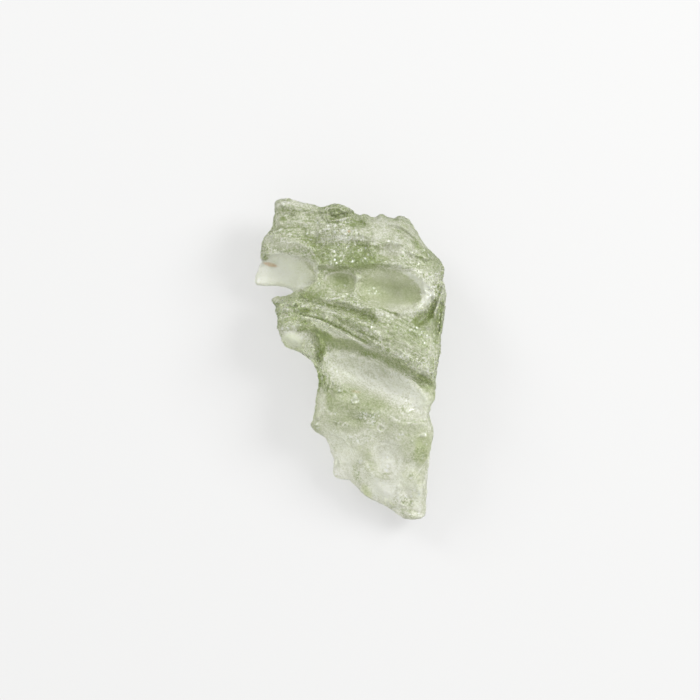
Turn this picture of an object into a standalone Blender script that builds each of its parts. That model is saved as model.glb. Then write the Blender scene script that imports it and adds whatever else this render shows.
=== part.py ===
"""Moldavite: one naturally formed shard of green tektite glass, lying on its back.

The shard is drawn as a rim line with spot heights for both sides, and its scoops,
hollows, ridges, flutes and split faces are carved into those sides as strokes.
The sketched face is up (+Z), its long side runs along Y, and the origin is under
the middle of the bounding box, on the table.
"""
import math

import bmesh
import bpy
import numpy as np

# Driving dimensions
VOXEL_1 = 0.00026          # grid of the blank, m
VOXEL_2 = 0.00020          # grid of the carved solid, m
BLANK = 0.004              # thickness of the blank, m
RIM = 0.35                 # thickness of the worn rim, mm
TRIANGLES = 7600           # triangles of the finished solid
TINT = (0.35, 0.47, 0.22, 1.0)

# --------------------------------------------------------------------------
# Sketch grid: the stone is drawn seen from above on a grid of 0.08 mm squares,
# u to the right and v downwards; sketch point (U0, V0) lies on the origin.
# --------------------------------------------------------------------------
SU = 0.08                      # mm in one sketch square
U0, V0 = 350.3, 359.9

# Rim of the shard, clockwise from its upper left corner.
OUTLINE = [
    (275, 202.3), (278.7, 199.7), (284.7, 198.7), (290, 199.3), (296.7, 202), (307.3, 203.7),
    (315.3, 206), (320.7, 208), (323.3, 207.7), (330, 205.3), (334.7, 204.7), (340, 205),
    (346, 207), (350, 209), (354, 213), (359.3, 216.3), (362.7, 215), (366.7, 215),
    (371.3, 218), (376.7, 217), (381.3, 214.3), (384.7, 217), (388, 219), (395.3, 219.3),
    (400, 216.7), (403.3, 217.3), (408, 219.7), (411.3, 224.3), (416.7, 232.3), (420, 238.3),
    (424.7, 244.3), (430, 250.3), (434, 254.3), (438, 257), (441.3, 261.7), (444, 267),
    (443.3, 273.7), (442.3, 280.3), (445.3, 288.7), (446, 294.7), (445.3, 302), (444.3, 312),
    (443.3, 323.3), (442.7, 331.3), (441, 335.3), (440.7, 344), (440, 353.3), (438, 360.7),
    (436.7, 366.7), (435.3, 375.3), (435, 380.7), (436.3, 386), (435, 392.7), (434.3, 398.7),
    (432.7, 402.7), (429.7, 408), (428, 412.7), (429, 418.7), (431, 422.7), (432.3, 426),
    (433, 433.3), (432.3, 438.7), (431.3, 446.7), (430, 454.7), (429.3, 463.3), (428.7, 473.3),
    (427.7, 483.3), (427.3, 493.3), (426.3, 503.3), (425.7, 512), (425.3, 517.3), (422, 519.7),
    (414, 521), (406.7, 520.7), (402.7, 518.7), (396.7, 514.3), (390, 509.7), (383.3, 505.7),
    (376.7, 502.7), (370, 499.3), (364.7, 495.7), (360, 491.3), (356, 487.3), (353.3, 484),
    (350, 480.7), (343.3, 480), (338.7, 478.7), (334, 477.3), (333.3, 473.3), (333.3, 468),
    (334.7, 462.7), (332.7, 457.3), (330.7, 452), (330.7, 447.3), (328.7, 443.3), (326, 438.7),
    (321.3, 435.3), (316.7, 432), (313.3, 430.7), (311, 427.3), (310.7, 424), (312.7, 418.7),
    (314.7, 412.7), (315.3, 406.7), (316, 400), (317, 394.7), (318, 389.3), (319.3, 382.7),
    (319, 377.3), (317.5, 371.5), (316.3, 367.3), (313.3, 363.3), (308.7, 358.3), (304, 354.5),
    (299.7, 351.3), (294.3, 350), (288.3, 348), (285, 344.7), (281.7, 340.7), (281, 336.7),
    (279.7, 332.7), (277.7, 328), (277.3, 322.7), (278.3, 318.7), (277.7, 315.3), (276, 311.3),
    (276.3, 308), (275.7, 305), (273, 302.7), (271, 300), (273, 298), (277, 296.3),
    (281.7, 296.7), (285, 297), (291.7, 293.7), (295, 292), (296, 291), (294, 290.3),
    (290, 288.3), (287.3, 287), (283.3, 286), (276.7, 285), (270, 285), (263.3, 285),
    (256.7, 284.3), (254.7, 281), (255, 276.3), (256.7, 271.7), (258.7, 267), (260.3, 261.7),
    (261.3, 258.3), (260.7, 253.7), (261, 248.3), (262, 242.3), (264, 237.7), (266.7, 234.3),
    (270.7, 230.3), (273, 225), (274.3, 219.7), (275, 213.7), (275.3, 208.3),
]

# Spot heights of the upper side, mm above the table: (u, v, height).
TOP_SPOTS = [
    # upper edge
    (277, 203, 4.6), (298, 206, 5.0), (318, 210, 5.4), (335, 207, 6.0), (358, 218, 5.6),
    (384, 218, 5.5), (404, 221, 5.0), (418, 237, 4.9), (433, 256, 4.6),
    # upper left block
    (265, 240, 4.1), (263, 256, 4.0), (284, 222, 4.9), (284, 246, 4.9), (304, 228, 5.6),
    (306, 252, 5.2), (316, 262, 5.2),
    # plateau
    (332, 230, 6.4), (360, 233, 6.8), (388, 233, 6.4), (408, 243, 5.9), (425, 258, 5.5),
    (332, 252, 6.3), (360, 254, 6.8), (388, 254, 6.5), (412, 264, 6.1),
    # brow over the scoops
    (322, 270, 5.7), (345, 267, 6.3), (375, 266, 6.6), (400, 268, 6.5), (432, 276, 5.8),
    # ground the scoops are cut into
    (330, 290, 6.0), (360, 292, 6.2), (392, 292, 6.3), (428, 296, 6.0), (441, 300, 5.0),
    # beak
    (274, 300, 3.6), (280, 314, 4.4), (283, 330, 4.1), (296, 300, 5.1), (310, 293, 5.6),
    (300, 318, 5.4), (296, 338, 4.3), (304, 350, 4.0),
    # ridge bundle
    (320, 308, 6.3), (342, 318, 6.7), (362, 328, 6.9), (385, 336, 6.8), (408, 345, 6.5),
    (428, 352, 6.0), (437, 345, 5.3), (405, 325, 6.5), (428, 330, 5.7),
    # furrow under the bundle
    (316, 346, 4.6), (335, 352, 4.7), (360, 361, 4.9), (390, 375, 5.1), (418, 390, 5.1),
    (433, 396, 4.6),
    # pale trough
    (335, 375, 4.6), (362, 380, 4.3), (390, 394, 4.4), (418, 408, 4.5),
    # left edge
    (319, 372, 4.2), (319, 395, 4.1), (313, 424, 3.5), (328, 385, 4.7), (327, 412, 4.4),
    # olive band
    (345, 402, 4.8), (370, 412, 5.1), (398, 424, 5.1), (424, 430, 4.6),
    (340, 424, 4.3), (362, 432, 4.7), (386, 437, 4.8), (412, 442, 4.7), (428, 450, 4.2),
    # lower blade
    (362, 450, 4.2), (372, 470, 3.8), (386, 457, 4.5), (405, 458, 4.4), (398, 478, 3.8),
    (416, 474, 3.7), (426, 476, 3.0), (382, 488, 3.0), (398, 500, 2.8), (412, 490, 3.2),
    (424, 500, 2.4), (410, 515, 1.9), (422, 516, 1.9), (372, 496, 2.2),
    # thin lower left flap
    (330, 442, 2.6), (342, 452, 2.4), (338, 472, 1.7), (352, 470, 2.4), (355, 484, 1.8),
]

# Spot heights of the underside, mm above the table.
BOTTOM_SPOTS = [
    (280, 203, 2.4), (320, 210, 2.0), (360, 219, 1.7), (402, 221, 2.0), (432, 256, 2.0),
    (264, 242, 2.1), (262, 258, 1.6), (262, 280, 1.0), (288, 280, 0.9), (300, 240, 1.2),
    (274, 300, 2.4), (279, 325, 2.3), (290, 343, 2.2), (302, 315, 1.4), (318, 372, 1.7),
    (317, 400, 1.7), (312, 426, 2.0), (332, 450, 1.1), (338, 474, 0.8), (356, 486, 0.8),
    (376, 500, 0.9), (405, 517, 0.9), (424, 516, 0.8), (428, 470, 1.3), (431, 430, 1.6),
    (434, 390, 1.7), (440, 340, 1.9), (444, 295, 2.1), (400, 245, 0.5), (350, 245, 0.3),
    (330, 270, 0.1), (400, 285, 0.1), (415, 320, 0.4), (365, 300, -0.25), (345, 330, -0.1),
    (385, 340, -0.3), (350, 370, 0.0), (400, 380, 0.1), (370, 400, -0.15), (395, 425, 0.1),
    (360, 440, 0.3), (385, 465, 0.1), (405, 490, 0.35),
]


def plate(spots):
    """Smooth sheet (a bent thin plate) through a list of spot heights."""
    p = np.array([(s[0] / 100.0, s[1] / 100.0) for s in spots])
    h = np.array([s[2] for s in spots])
    n = len(p)

    def bend(r2):
        return r2 * np.log(r2 + 1e-12)

    r2 = ((p[:, None, :] - p[None, :, :]) ** 2).sum(-1)
    a = np.zeros((n + 3, n + 3))
    a[:n, :n] = bend(r2) + 2e-4 * np.eye(n)
    a[:n, n] = 1.0
    a[:n, n + 1:] = p
    a[n, :n] = 1.0
    a[n + 1:, :n] = p.T
    w = np.linalg.solve(a, np.concatenate([h, np.zeros(3)]))

    def height(u, v):
        x, y = u / 100.0, v / 100.0
        z = w[n] + w[n + 1] * x + w[n + 2] * y
        for i in range(n):
            z = z + w[i] * bend((x - p[i, 0]) ** 2 + (y - p[i, 1]) ** 2)
        return z

    return height


TOP_PLATE = plate(TOP_SPOTS)
BOTTOM_PLATE = plate(BOTTOM_SPOTS)


# ---- noise -----------------------------------------------------------------
def lattice(ix, iy, iz, seed):
    h = (ix * 374761393 + iy * 668265263 + iz * 1440662683 + seed * 362437) & 0xFFFFFFFF
    h = ((h ^ (h >> 13)) * 1274126177) & 0xFFFFFFFF
    h = ((h ^ (h >> 15)) * 2246822519) & 0xFFFFFFFF
    return h ^ (h >> 16)


def noise(x, y, z=0.0, seed=0):
    """Gradient noise, about -1 to 1, one wave to the unit."""
    x, y, z = np.broadcast_arrays(np.asarray(x, float), np.asarray(y, float), np.asarray(z, float))
    ix, iy, iz = np.floor(x).astype(np.int64), np.floor(y).astype(np.int64), np.floor(z).astype(np.int64)
    fx, fy, fz = x - ix, y - iy, z - iz
    sx, sy, sz = (f * f * f * (f * (f * 6 - 15) + 10) for f in (fx, fy, fz))
    total = 0.0
    for cx in (0, 1):
        wx = sx if cx else 1 - sx
        for cy in (0, 1):
            wy = sy if cy else 1 - sy
            for cz in (0, 1):
                wz = sz if cz else 1 - sz
                h = lattice(ix + cx, iy + cy, iz + cz, seed)
                gx = (h & 1023) / 511.5 - 1.0
                gy = ((h >> 10) & 1023) / 511.5 - 1.0
                gz = ((h >> 20) & 1023) / 511.5 - 1.0
                total = total + wx * wy * wz * (gx * (fx - cx) + gy * (fy - cy) + gz * (fz - cz))
    return total * 1.6


def fractal(x, y, z=0.0, seed=0, octaves=4, gain=0.5):
    total, amp, f = 0.0, 1.0, 1.0
    for k in range(octaves):
        total = total + amp * noise(x * f, y * f, np.asarray(z) * f, seed + 17 * k)
        amp *= gain
        f *= 2.03
    return total


def cells(x, y, seed=0):
    """Distance to the nearest and second nearest of scattered points, one to the unit square."""
    ix, iy = np.floor(x).astype(np.int64), np.floor(y).astype(np.int64)
    d1, d2 = np.full(np.shape(x), 9.0), np.full(np.shape(x), 9.0)
    for cx in (-1, 0, 1):
        for cy in (-1, 0, 1):
            h = lattice(ix + cx, iy + cy, ix * 0 + 5, seed)
            px = ix + cx + (h & 1023) / 1023.0
            py = iy + cy + ((h >> 10) & 1023) / 1023.0
            d = np.sqrt((x - px) ** 2 + (y - py) ** 2)
            d2 = np.minimum(d2, np.maximum(d1, d))
            d1 = np.minimum(d1, d)
    return d1, d2


# ---- strokes ---------------------------------------------------------------
def smooth(t):
    t = np.clip(t, 0.0, 1.0)
    return t * t * (3 - 2 * t)


def along_line(u, v, pts):
    """Distance to a polyline, place along it (0 to 1), and which side (-1 above, +1 below)."""
    best = np.full(np.shape(u), 1e9)
    where = np.zeros(np.shape(u))
    side = np.ones(np.shape(u))
    lens = [math.hypot(b[0] - a[0], b[1] - a[1]) for a, b in zip(pts, pts[1:])]
    whole, gone = sum(lens), 0.0
    for (a, b), ln in zip(zip(pts, pts[1:]), lens):
        eu, ev = (b[0] - a[0]) / ln, (b[1] - a[1]) / ln
        s = np.clip((u - a[0]) * eu + (v - a[1]) * ev, 0, ln)
        d = np.hypot(u - a[0] - s * eu, v - a[1] - s * ev)
        cross = eu * (v - a[1]) - ev * (u - a[0])
        near = d < best
        best = np.where(near, d, best)
        where = np.where(near, (gone + s) / whole, where)
        side = np.where(near, np.sign(cross), side)
        gone += ln
    return best, where, side


def ends(where, e0=0.12, e1=0.12):
    f = 1.0
    if e0 > 0:
        f = f * smooth(where / e0)
    if e1 > 0:
        f = f * smooth((1 - where) / e1)
    return f


def ridge(u, v, pts, high, width, below=None, e0=0.12, e1=0.12, sharp=2.0):
    """A rise along a line; width is its half width above the line, below the one under it."""
    d, w, s = along_line(u, v, pts)
    half = np.where(s > 0, width if below is None else below, width)
    return high * np.exp(-(d / half) ** sharp) * ends(w, e0, e1)


def ledge(u, v, pts, drop, width, reach, e0=0.12, e1=0.12):
    """Ground stands higher above the line than below it, and runs level again after reach."""
    d, w, s = along_line(u, v, pts)
    return -0.5 * drop * np.tanh(s * d / width) * np.exp(-(d / reach) ** 2) * ends(w, e0, e1)


def oval(u, v, cu, cv, ru, rv, deg=0.0):
    """Radius in an ellipse: 0 at its middle, 1 on its edge."""
    c, s = math.cos(math.radians(deg)), math.sin(math.radians(deg))
    a = (u - cu) * c + (v - cv) * s
    b = -(u - cu) * s + (v - cv) * c
    return np.sqrt((a / ru) ** 2 + (b / rv) ** 2)


def scoop(u, v, cu, cv, ru, rv, deg, depth, rim=0.0, flat=2.0, soft=0.8):
    """A bowl and, round it, a low rim; its edge is crisp when soft is under 1."""
    r = oval(u, v, cu, cv, ru, rv, deg)
    bowl = -depth * np.clip(1 - r ** flat, 0, None) ** soft
    return bowl + rim * np.exp(-((r - 1.06) / 0.13) ** 2)


def inside(u, v, poly):
    """Even-odd test of points against a closed polygon."""
    hit = np.zeros(np.shape(u), bool)
    for (au, av), (bu, bv) in zip(poly, poly[1:] + poly[:1]):
        if av == bv:
            continue
        cross = ((av > v) != (bv > v)) & (u < (bu - au) * (v - av) / (bv - av) + au)
        hit ^= cross
    return hit


# ---- the upper side --------------------------------------------------------
FLAP_EDGE = [(250, 258), (262, 258.5), (270, 255), (276.7, 253.2), (282, 253.3), (287.3, 254.3),
             (295.3, 256), (303.3, 258.7), (308.7, 260.7), (314, 262.3), (316.2, 266.3), (315.4, 271.7),
             (315.2, 278.3), (313.6, 284.3), (310.3, 286.6), (305, 287.6), (298.3, 289.6), (291.7, 293),
             (284, 294), (250, 292)]
STEP_LINE = [(296, 316), (312, 321), (318, 326.5), (328, 334), (338, 338.6), (350, 341.5), (362, 346.5),
             (372, 350.5), (380, 353.5), (390, 358), (398, 362.5), (405, 363.5), (415, 371), (425, 377),
             (440, 387)]
CREASE = [(292, 311), (299, 314.5), (305, 316), (312, 317), (320, 319.5), (330, 323.8), (340, 328.2),
          (350, 333.6), (360, 339.2), (371, 345.5), (379, 351)]
FLAP_STEP = [(322, 433), (330, 434.5), (338, 435.5), (346, 440), (352, 448), (356, 455), (362, 464),
             (367, 473), (372, 482), (380, 492), (392, 505)]


def top(u, v):
    """Height of the upper side, mm, before the rim is rounded off."""
    z = TOP_PLATE(u, v)
    u, v = (u + 1.5 * noise(u / 13, v / 13, 0.2, 31) + 0.6 * noise(u / 5, v / 5, 0.2, 33),
            v + 1.5 * noise(u / 13, v / 13, 0.6, 32) + 0.6 * noise(u / 5, v / 5, 0.6, 34))

    # knobs and saddles of the upper edge and the plateau
    z = z + ridge(u, v, [(316, 211), (326, 207), (336, 205), (346, 208), (353, 213)], 0.45, 5)
    z = z - ridge(u, v, [(329, 217), (340, 218.5), (350, 216), (357, 214)], 0.55, 2.6)
    z = z + ridge(u, v, [(326, 223), (334, 222.6), (344, 221.5), (352, 218)], 0.28, 1.8)
    z = z - 0.6 * np.exp(-oval(u, v, 359, 224, 8, 4, 20) ** 2)
    z = z - 0.35 * np.exp(-oval(u, v, 288, 217, 9, 4.5, 20) ** 2)
    z = z + ridge(u, v, [(279, 203), (292, 207), (306, 209), (318, 213)], 0.20, 3.5)
    z = z - ridge(u, v, [(275, 229), (290, 231), (306, 229), (322, 226)], 0.2, 3.0)
    z = z + ridge(u, v, [(268, 238), (282, 240), (298, 243), (310, 249), (316, 258)], 0.4, 4)
    z = z - ridge(u, v, [(384, 229), (392, 229.5), (400, 231), (408, 236), (415, 243), (421, 249)], 0.45, 2.6)
    z = z - 0.45 * np.clip(1 - oval(u, v, 389, 254, 12, 7.5, -12) ** 2, 0, None)
    z = z + ridge(u, v, [(374, 249), (382, 245), (394, 243), (404, 247)], 0.25, 2.5)
    z = z - 0.35 * np.clip(1 - oval(u, v, 397, 238, 5.5, 8, 20) ** 2, 0, None)
    z = z - ridge(u, v, [(308, 240), (322, 243), (340, 246), (358, 247), (372, 252)], 0.5, 7)
    z = z + ridge(u, v, [(404, 252), (416, 255), (430, 259)], 0.25, 3)
    # brow that hangs over the scoops
    z = z + ledge(u, v, [(312, 268), (330, 269.5), (345, 270), (352, 271.5), (360, 270), (375, 268),
                         (395, 268.5), (408, 270.8), (420, 275)], 0.9, 2.2, 9, 0.05, 0.22)
    # the two scoops and the narrow saddle between them
    z = z + scoop(u, v, 390, 291, 35, 22, 7, 1.55, 0.06, 2.0, 1.3)
    z = z + scoop(u, v, 341, 281.5, 18, 11.5, 12, 0.95, 0.05, 2.1, 1.1)
    z = z - 0.38 * np.exp(-oval(u, v, 406, 295, 15, 11, 10) ** 2)
    z = z - 0.12 * np.exp(-oval(u, v, 368, 283, 12, 9, 0) ** 2)
    z = z + ridge(u, v, [(355, 271), (357, 280), (356, 290), (352, 299)], 0.15, 2.6)
    # shelf under the scoops, with its long flow lines
    z = z + ridge(u, v, [(316, 297), (330, 300.5), (346, 304), (362, 308.5), (376, 310.5)], 0.22, 5)
    z = z + ledge(u, v, [(370, 310.5), (377, 308.6), (384, 309.6), (392, 313), (401, 316.5)], 0.4, 1.0, 5)
    # ridge bundle that runs down to the right
    z = z - ridge(u, v, [(296, 293), (305, 297), (314, 302), (322, 304.5), (335, 306.5), (350, 310.5),
                         (362, 314.5), (372, 319), (379, 327)], 0.90, 3.6, None, 0.1, 0.12)
    z = z + ridge(u, v, [(306, 300), (314, 304), (322, 309), (334, 314), (347, 318.5), (361, 324),
                         (374, 330)], 0.45, 2.6, 4)
    z = z - ridge(u, v, [(352, 329.5), (362, 333.5), (370, 337), (380, 342.5)], 0.28, 1.1)
    z = z - ridge(u, v, [(357, 335.5), (364, 339), (371, 343.5)], 0.2, 0.9)
    z = z - ridge(u, v, CREASE, 0.38, 1.0, 0.9, 0.06, 0.06)
    z = z + ridge(u, v, [(301, 316), (312, 319), (322, 323), (334, 329), (346, 335.5), (358, 342),
                         (370, 349)], 0.32, 1.6, 3.0, 0.05, 0.1)
    z = z + ledge(u, v, STEP_LINE, 0.7, 3.0, 13, 0.03, 0.02)
    z = z - ridge(u, v, [(312, 331), (322, 338), (334, 344.5), (350, 346.5), (366, 351), (382, 358),
                         (398, 367), (412, 375), (426, 383), (440, 391)], 0.7, 4.5, 7.0, 0.05, 0.02)
    z = z - ridge(u, v, [(312, 329), (318, 338), (321, 348), (320, 357), (322, 364)], 0.9, 3.6)
    # beak: parallel flutes, then the round lobe under them
    z = z - ridge(u, v, [(296, 311), (304, 310.8), (313, 311.5)], 0.5, 1.5)
    z = z - ridge(u, v, [(286, 306), (294, 307.5), (301, 305)], 0.35, 1.8)
    z = z - ridge(u, v, [(278, 316), (284, 314), (291, 315)], 0.3, 1.8)
    z = z + ridge(u, v, [(280, 326.5), (290, 327.5), (300, 325.5), (307, 325)], 0.35, 1.6)
    z = z - ridge(u, v, [(296, 331), (304, 329.5), (312, 331.5), (317, 335)], 0.5, 2.2)
    z = z + 0.8 * np.exp(-oval(u, v, 294, 340, 10, 7, 25) ** 2)
    z = z + ridge(u, v, [(302, 344), (309, 350), (314, 357)], 0.35, 3.0)
    # the left edge of the waist
    z = z + ridge(u, v, [(323, 352), (323.5, 362), (326, 372), (327, 378), (325, 388), (324, 400),
                         (321, 412), (316, 425)], 0.55, 2.0)
    z = z - ridge(u, v, [(331, 380), (331, 390), (330.5, 400), (331, 414)], 0.16, 2.4)
    # broad pale trough and the band under it
    z = z - 0.75 * np.clip(1 - oval(u, v, 376, 381, 52, 16, 22) ** 2, 0, None)
    z = z + ridge(u, v, [(333, 404), (348, 402), (362, 405), (378, 410), (394, 416), (412, 421),
                         (430, 424)], 0.3, 7)
    z = z - ridge(u, v, [(384, 409.5), (393, 416.5), (400, 419.5), (415, 421.6), (431, 420.6)], 0.14, 1.5)
    z = z + scoop(u, v, 355, 401, 4.2, 4.0, 0, -0.3, 0.0)
    z = z + scoop(u, v, 339, 390, 2.8, 2.6, 0, -0.22, 0.0)
    z = z + scoop(u, v, 381, 428, 3.4, 3.2, 0, 0.3, 0.15)
    z = z + scoop(u, v, 341.5, 424, 2.3, 2.3, 0, 0.2, 0.1)
    z = z + scoop(u, v, 336, 424.5, 2.3, 2.3, 0, 0.2, 0.1)
    z = z + scoop(u, v, 423, 434.5, 3.4, 2.4, 0, -0.25, 0.0)
    z = z - 0.35 * np.exp(-oval(u, v, 356, 420, 9, 6, 0) ** 2)
    # knob on the left at the foot of the waist
    z = z + 0.5 * np.exp(-oval(u, v, 314.5, 426, 4, 3.5, 20) ** 2)
    # the thin flap steps down under the blade
    z = z + ledge(u, v, FLAP_STEP, 0.5, 2.2, 7, 0.08, 0.1)
    z = z + ridge(u, v, [(328, 434.5), (336, 436), (344, 440), (350, 447)], 0.22, 1.2)
    z = z + ridge(u, v, [(332, 450), (338, 457), (343, 463), (352, 462)], 0.10, 1.8)
    # round hollow, its terraces and its rim
    z = z - 0.85 * np.exp(-oval(u, v, 384, 458, 14, 15.5, 8) ** 2)
    z = z + 0.22 * np.exp(-oval(u, v, 388, 462, 7, 11, 10) ** 2)
    z = z - ridge(u, v, [(371, 446), (378, 442.5), (388, 442), (397, 446)], 0.06, 1.2)
    z = z - ridge(u, v, [(374, 449.5), (380, 446.8), (388, 446.5), (395, 450)], 0.05, 1.1)
    z = z + ridge(u, v, [(357, 455), (363, 463), (369, 471), (374, 479)], 0.09, 1.5)
    z = z + ridge(u, v, [(374, 474.5), (381, 478.6), (389, 479), (398, 474)], 0.10, 1.8)
    # tip: second hollow and the flat split face along the right side
    z = z - 0.75 * np.exp(-oval(u, v, 409, 495, 9.5, 11, 10) ** 2)
    z = z + ridge(u, v, [(400, 483), (398, 492), (400, 503), (406, 508)], 0.2, 1.8)
    cut = 3.75 - 0.105 * (u - 412) - 0.012 * (v - 470)
    z = np.where(inside(u, v, [(431, 452), (434, 487), (412, 487)]), np.minimum(z, cut), z)
    # right shoulder: pale wall beside the scoop, sharp arris, split face
    z = z + ridge(u, v, [(418, 279), (428, 285), (434, 292), (435, 301), (428, 309), (417, 314)], 0.25, 3.5)
    z = z - ridge(u, v, [(436, 300), (430, 309), (422, 318), (414, 324)], 0.75, 4.5)
    z = z + ridge(u, v, [(443, 283), (441, 293), (438, 302), (435, 311), (433.5, 320)], 0.55, 1.4, 1.4)
    z = z - ridge(u, v, [(444, 303), (440, 313), (438, 325), (437, 336)], 0.7, 3.2)

    # upper left flap: thin, and well below the block above it
    flap = 2.5 + 0.012 * (u - 285) - 0.006 * (v - 270) + 0.18 * np.exp(-oval(u, v, 302, 277, 12, 8, 0) ** 2) \
        + 0.16 * noise(u / 13, v / 11, 3.0, 41)
    z = np.where(inside(u, v, FLAP_EDGE), flap, z)
    # nub that peeps out behind the beak
    z = np.where((u < 281.5) & (v > 293) & (v < 304), 3.3 + 0 * u, z)
    return z


# Flow lines: (u, v, half length, half width, turn of the patch, direction of the lines, spacing, height)
FLOW = [
    (330, 226, 70, 20, 5, 7, 3.6, 0.07), (400, 240, 35, 22, 35, 32, 3.8, 0.06),
    (345, 320, 45, 14, 25, 25, 3.3, 0.15), (345, 301, 40, 8, 10, 11, 3.2, 0.07),
    (405, 340, 32, 22, 25, 27, 4.0, 0.09), (293, 312, 20, 18, 5, 8, 4.2, 0.13),
    (385, 385, 55, 25, 22, 40, 4.4, 0.035), (345, 405, 30, 16, 12, 14, 4.0, 0.02),
    (322, 395, 8, 45, 3, 92, 3.0, 0.08), (400, 425, 35, 12, 5, 6, 4.0, 0.025),
    (420, 445, 14, 20, 0, -35, 3.6, 0.06), (360, 478, 18, 25, -25, 60, 4.0, 0.06),
    (398, 508, 28, 8, 18, 20, 2.8, 0.06), (436, 330, 9, 45, 3, 100, 3.2, 0.08),
]


def skin(u, v, t):
    """Etched skin: pits, hatching and flow lines, mm; t is 0 on the table side, 1 on the upper side."""
    k = smooth_field(u, v)
    warp = 2.0 * noise(u / 26, v / 26, 1.5, 3) + 0.8 * noise(u / 9, v / 9, 1.5, 4)
    lines = 0.0
    for i, (cu, cv, ru, rv, deg, way, gap, high) in enumerate(FLOW):
        a = smooth((1.35 - oval(u, v, cu, cv, ru, rv, deg)) / 0.6)
        c, s = math.cos(math.radians(way)), math.sin(math.radians(way))
        run, across = u * c + v * s, -u * s + v * c + warp
        n = noise(run / (gap * 8), across / gap, 0.7, 300 + i)
        lines = lines + high * a * (0.55 - 1.6 * np.abs(n))
    lumps = fractal(u / 15, v / 15, 2.2, 21, 4)
    mid = noise(u / 4.6, v / 4.6, 3.1, 22)
    d1, d2 = cells((u + warp) / 6.5, v / 6.5, 9)
    pits = -np.clip(0.42 - d1, 0, None) * 0.9
    return (1 - 0.85 * k) * (0.105 * lumps + 0.03 * mid + 0.22 * pits) + 0.85 * (1 - 0.6 * k) * lines + 0.015 * lumps


def smooth_field(u, v):
    """1 where the glass is smooth (scoop floors, hollows, trough), 0 where the etching is rough."""
    k = np.clip(1.25 - oval(u, v, 391, 291, 34, 22, 7) ** 4, 0, 1)
    k = np.maximum(k, np.clip(1.2 - oval(u, v, 341, 281, 17, 11, 12) ** 4, 0, 1))
    k = np.maximum(k, 0.55 * smooth((v - 380) / 20) + 0.2 * smooth((v - 425) / 20))
    k = np.maximum(k, 0.95 * smooth((1.5 - oval(u, v, 385, 459, 19, 20, 0)) / 0.7))
    k = np.maximum(k, 0.8 * np.clip(1.3 - oval(u, v, 378, 382, 56, 24, 22) ** 4, 0, 1))
    k = np.maximum(k, 0.8 * np.clip(1.3 - oval(u, v, 345, 345, 26, 7, 12) ** 4, 0, 1))
    k = np.maximum(k, 0.7 * np.clip(1.2 - oval(u, v, 389, 254, 13, 9, -12) ** 4, 0, 1))
    k = np.maximum(k, 0.7 * np.clip(1.2 - oval(u, v, 345, 460, 22, 26, 30) ** 4, 0, 1))
    k = np.maximum(k, 0.8 * np.clip(1.2 - oval(u, v, 294, 339, 13, 9, 25) ** 4, 0, 1))
    k = np.maximum(k, 0.55 * np.clip(1.3 - oval(u, v, 393, 237, 22, 16, 15) ** 4, 0, 1))
    k = np.maximum(k, np.where(inside(u, v, FLAP_EDGE), 0.85, 0.0))
    return k


def bottom(u, v):
    """Height of the underside, mm: fluted, touching the table in a few flat worn patches."""
    z = BOTTOM_PLATE(u, v) + 0.2
    warp = 5.0 * noise(u / 40, v / 40, 9.0, 51)
    z = z + 0.34 * noise((u + v * 0.4) / 60, (v - u * 0.35 + warp) / 15, 4.0, 52)
    z = z + 0.20 * noise(u / 11, v / 11, 5.0, 53)
    for cu, cv, ru, rv, deg, deep in ((330, 235, 17, 11, 20, 0.6), (408, 262, 13, 19, 0, 0.6),
                                      (338, 312, 12, 9, 0, 0.45), (418, 352, 11, 17, 10, 0.5),
                                      (342, 385, 10, 14, 0, 0.45), (408, 447, 14, 10, 0, 0.5),
                                      (295, 320, 13, 10, 0, 0.5), (372, 466, 9, 9, 0, 0.45),
                                      (372, 306, 17, 8, 25, 0.5), (396, 318, 8, 6, 0, 0.4),
                                      (383, 369, 13, 8, -20, 0.5), (362, 268, 14, 8, 10, 0.45),
                                      (372, 420, 9, 12, 30, 0.4)):
        z = z - scoop(u, v, cu, cv, ru, rv, deg, deep, 0.06)
    z = z + ridge(u, v, [(330, 345), (350, 352), (375, 356), (402, 350)], 0.45, 3.5)
    return z


def rim_height(u, v):
    """Where the rim runs between the underside (0) and the upper side (1)."""
    return 0.42 + 0.12 * noise(u / 30, v / 30, 7.0, 61) + 0.08 * noise(u / 11, v / 11, 7.4, 62)


def rim_widths(u, v):
    """How far in from the rim the upper side and the underside are rounded (sketch units), and how squarely."""
    right = smooth((u - 405) / 18) * smooth((v - 268) / 15)
    flap = np.maximum(smooth((324 - u) / 12) * smooth((v - 256) / 4) * smooth((292 - v) / 4),
                      smooth((v - 432) / 10) * smooth((372 - u + 0.5 * (v - 470)) / 16))
    rough = noise(u / 9, v / 9, 8.0, 71)
    wt = (7.0 - 4.2 * right - 4.6 * flap) * (1 + 0.3 * rough)
    wb = (13.0 + 4.0 * right - 9.0 * flap) * (1 + 0.3 * noise(u / 14, v / 14, 8.5, 72))
    pt = 1.75 - 0.35 * right + 0.3 * noise(u / 22, v / 22, 8.7, 73)
    pb = 1.45 + 0.3 * noise(u / 24, v / 24, 8.9, 74)
    return wt, wb, pt, pb


def rim_curve(d, width, square):
    """0 on the rim to 1 at the full width; square 1 is a plain bevel, 2 a quarter round."""
    return np.clip(1 - (1 - np.clip(d / width, 0, 1)) ** square, 0, 1) ** (1 / square)


# ---- making the solid ------------------------------------------------------
def rim_distance(u, v):
    best = np.full(u.shape, 1e9)
    for a, b in zip(OUTLINE, OUTLINE[1:] + OUTLINE[:1]):
        ln = math.hypot(b[0] - a[0], b[1] - a[1])
        eu, ev = (b[0] - a[0]) / ln, (b[1] - a[1]) / ln
        s = np.clip((u - a[0]) * eu + (v - a[1]) * ev, 0, ln)
        best = np.minimum(best, np.hypot(u - a[0] - s * eu, v - a[1] - s * ev))
    return best


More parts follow.
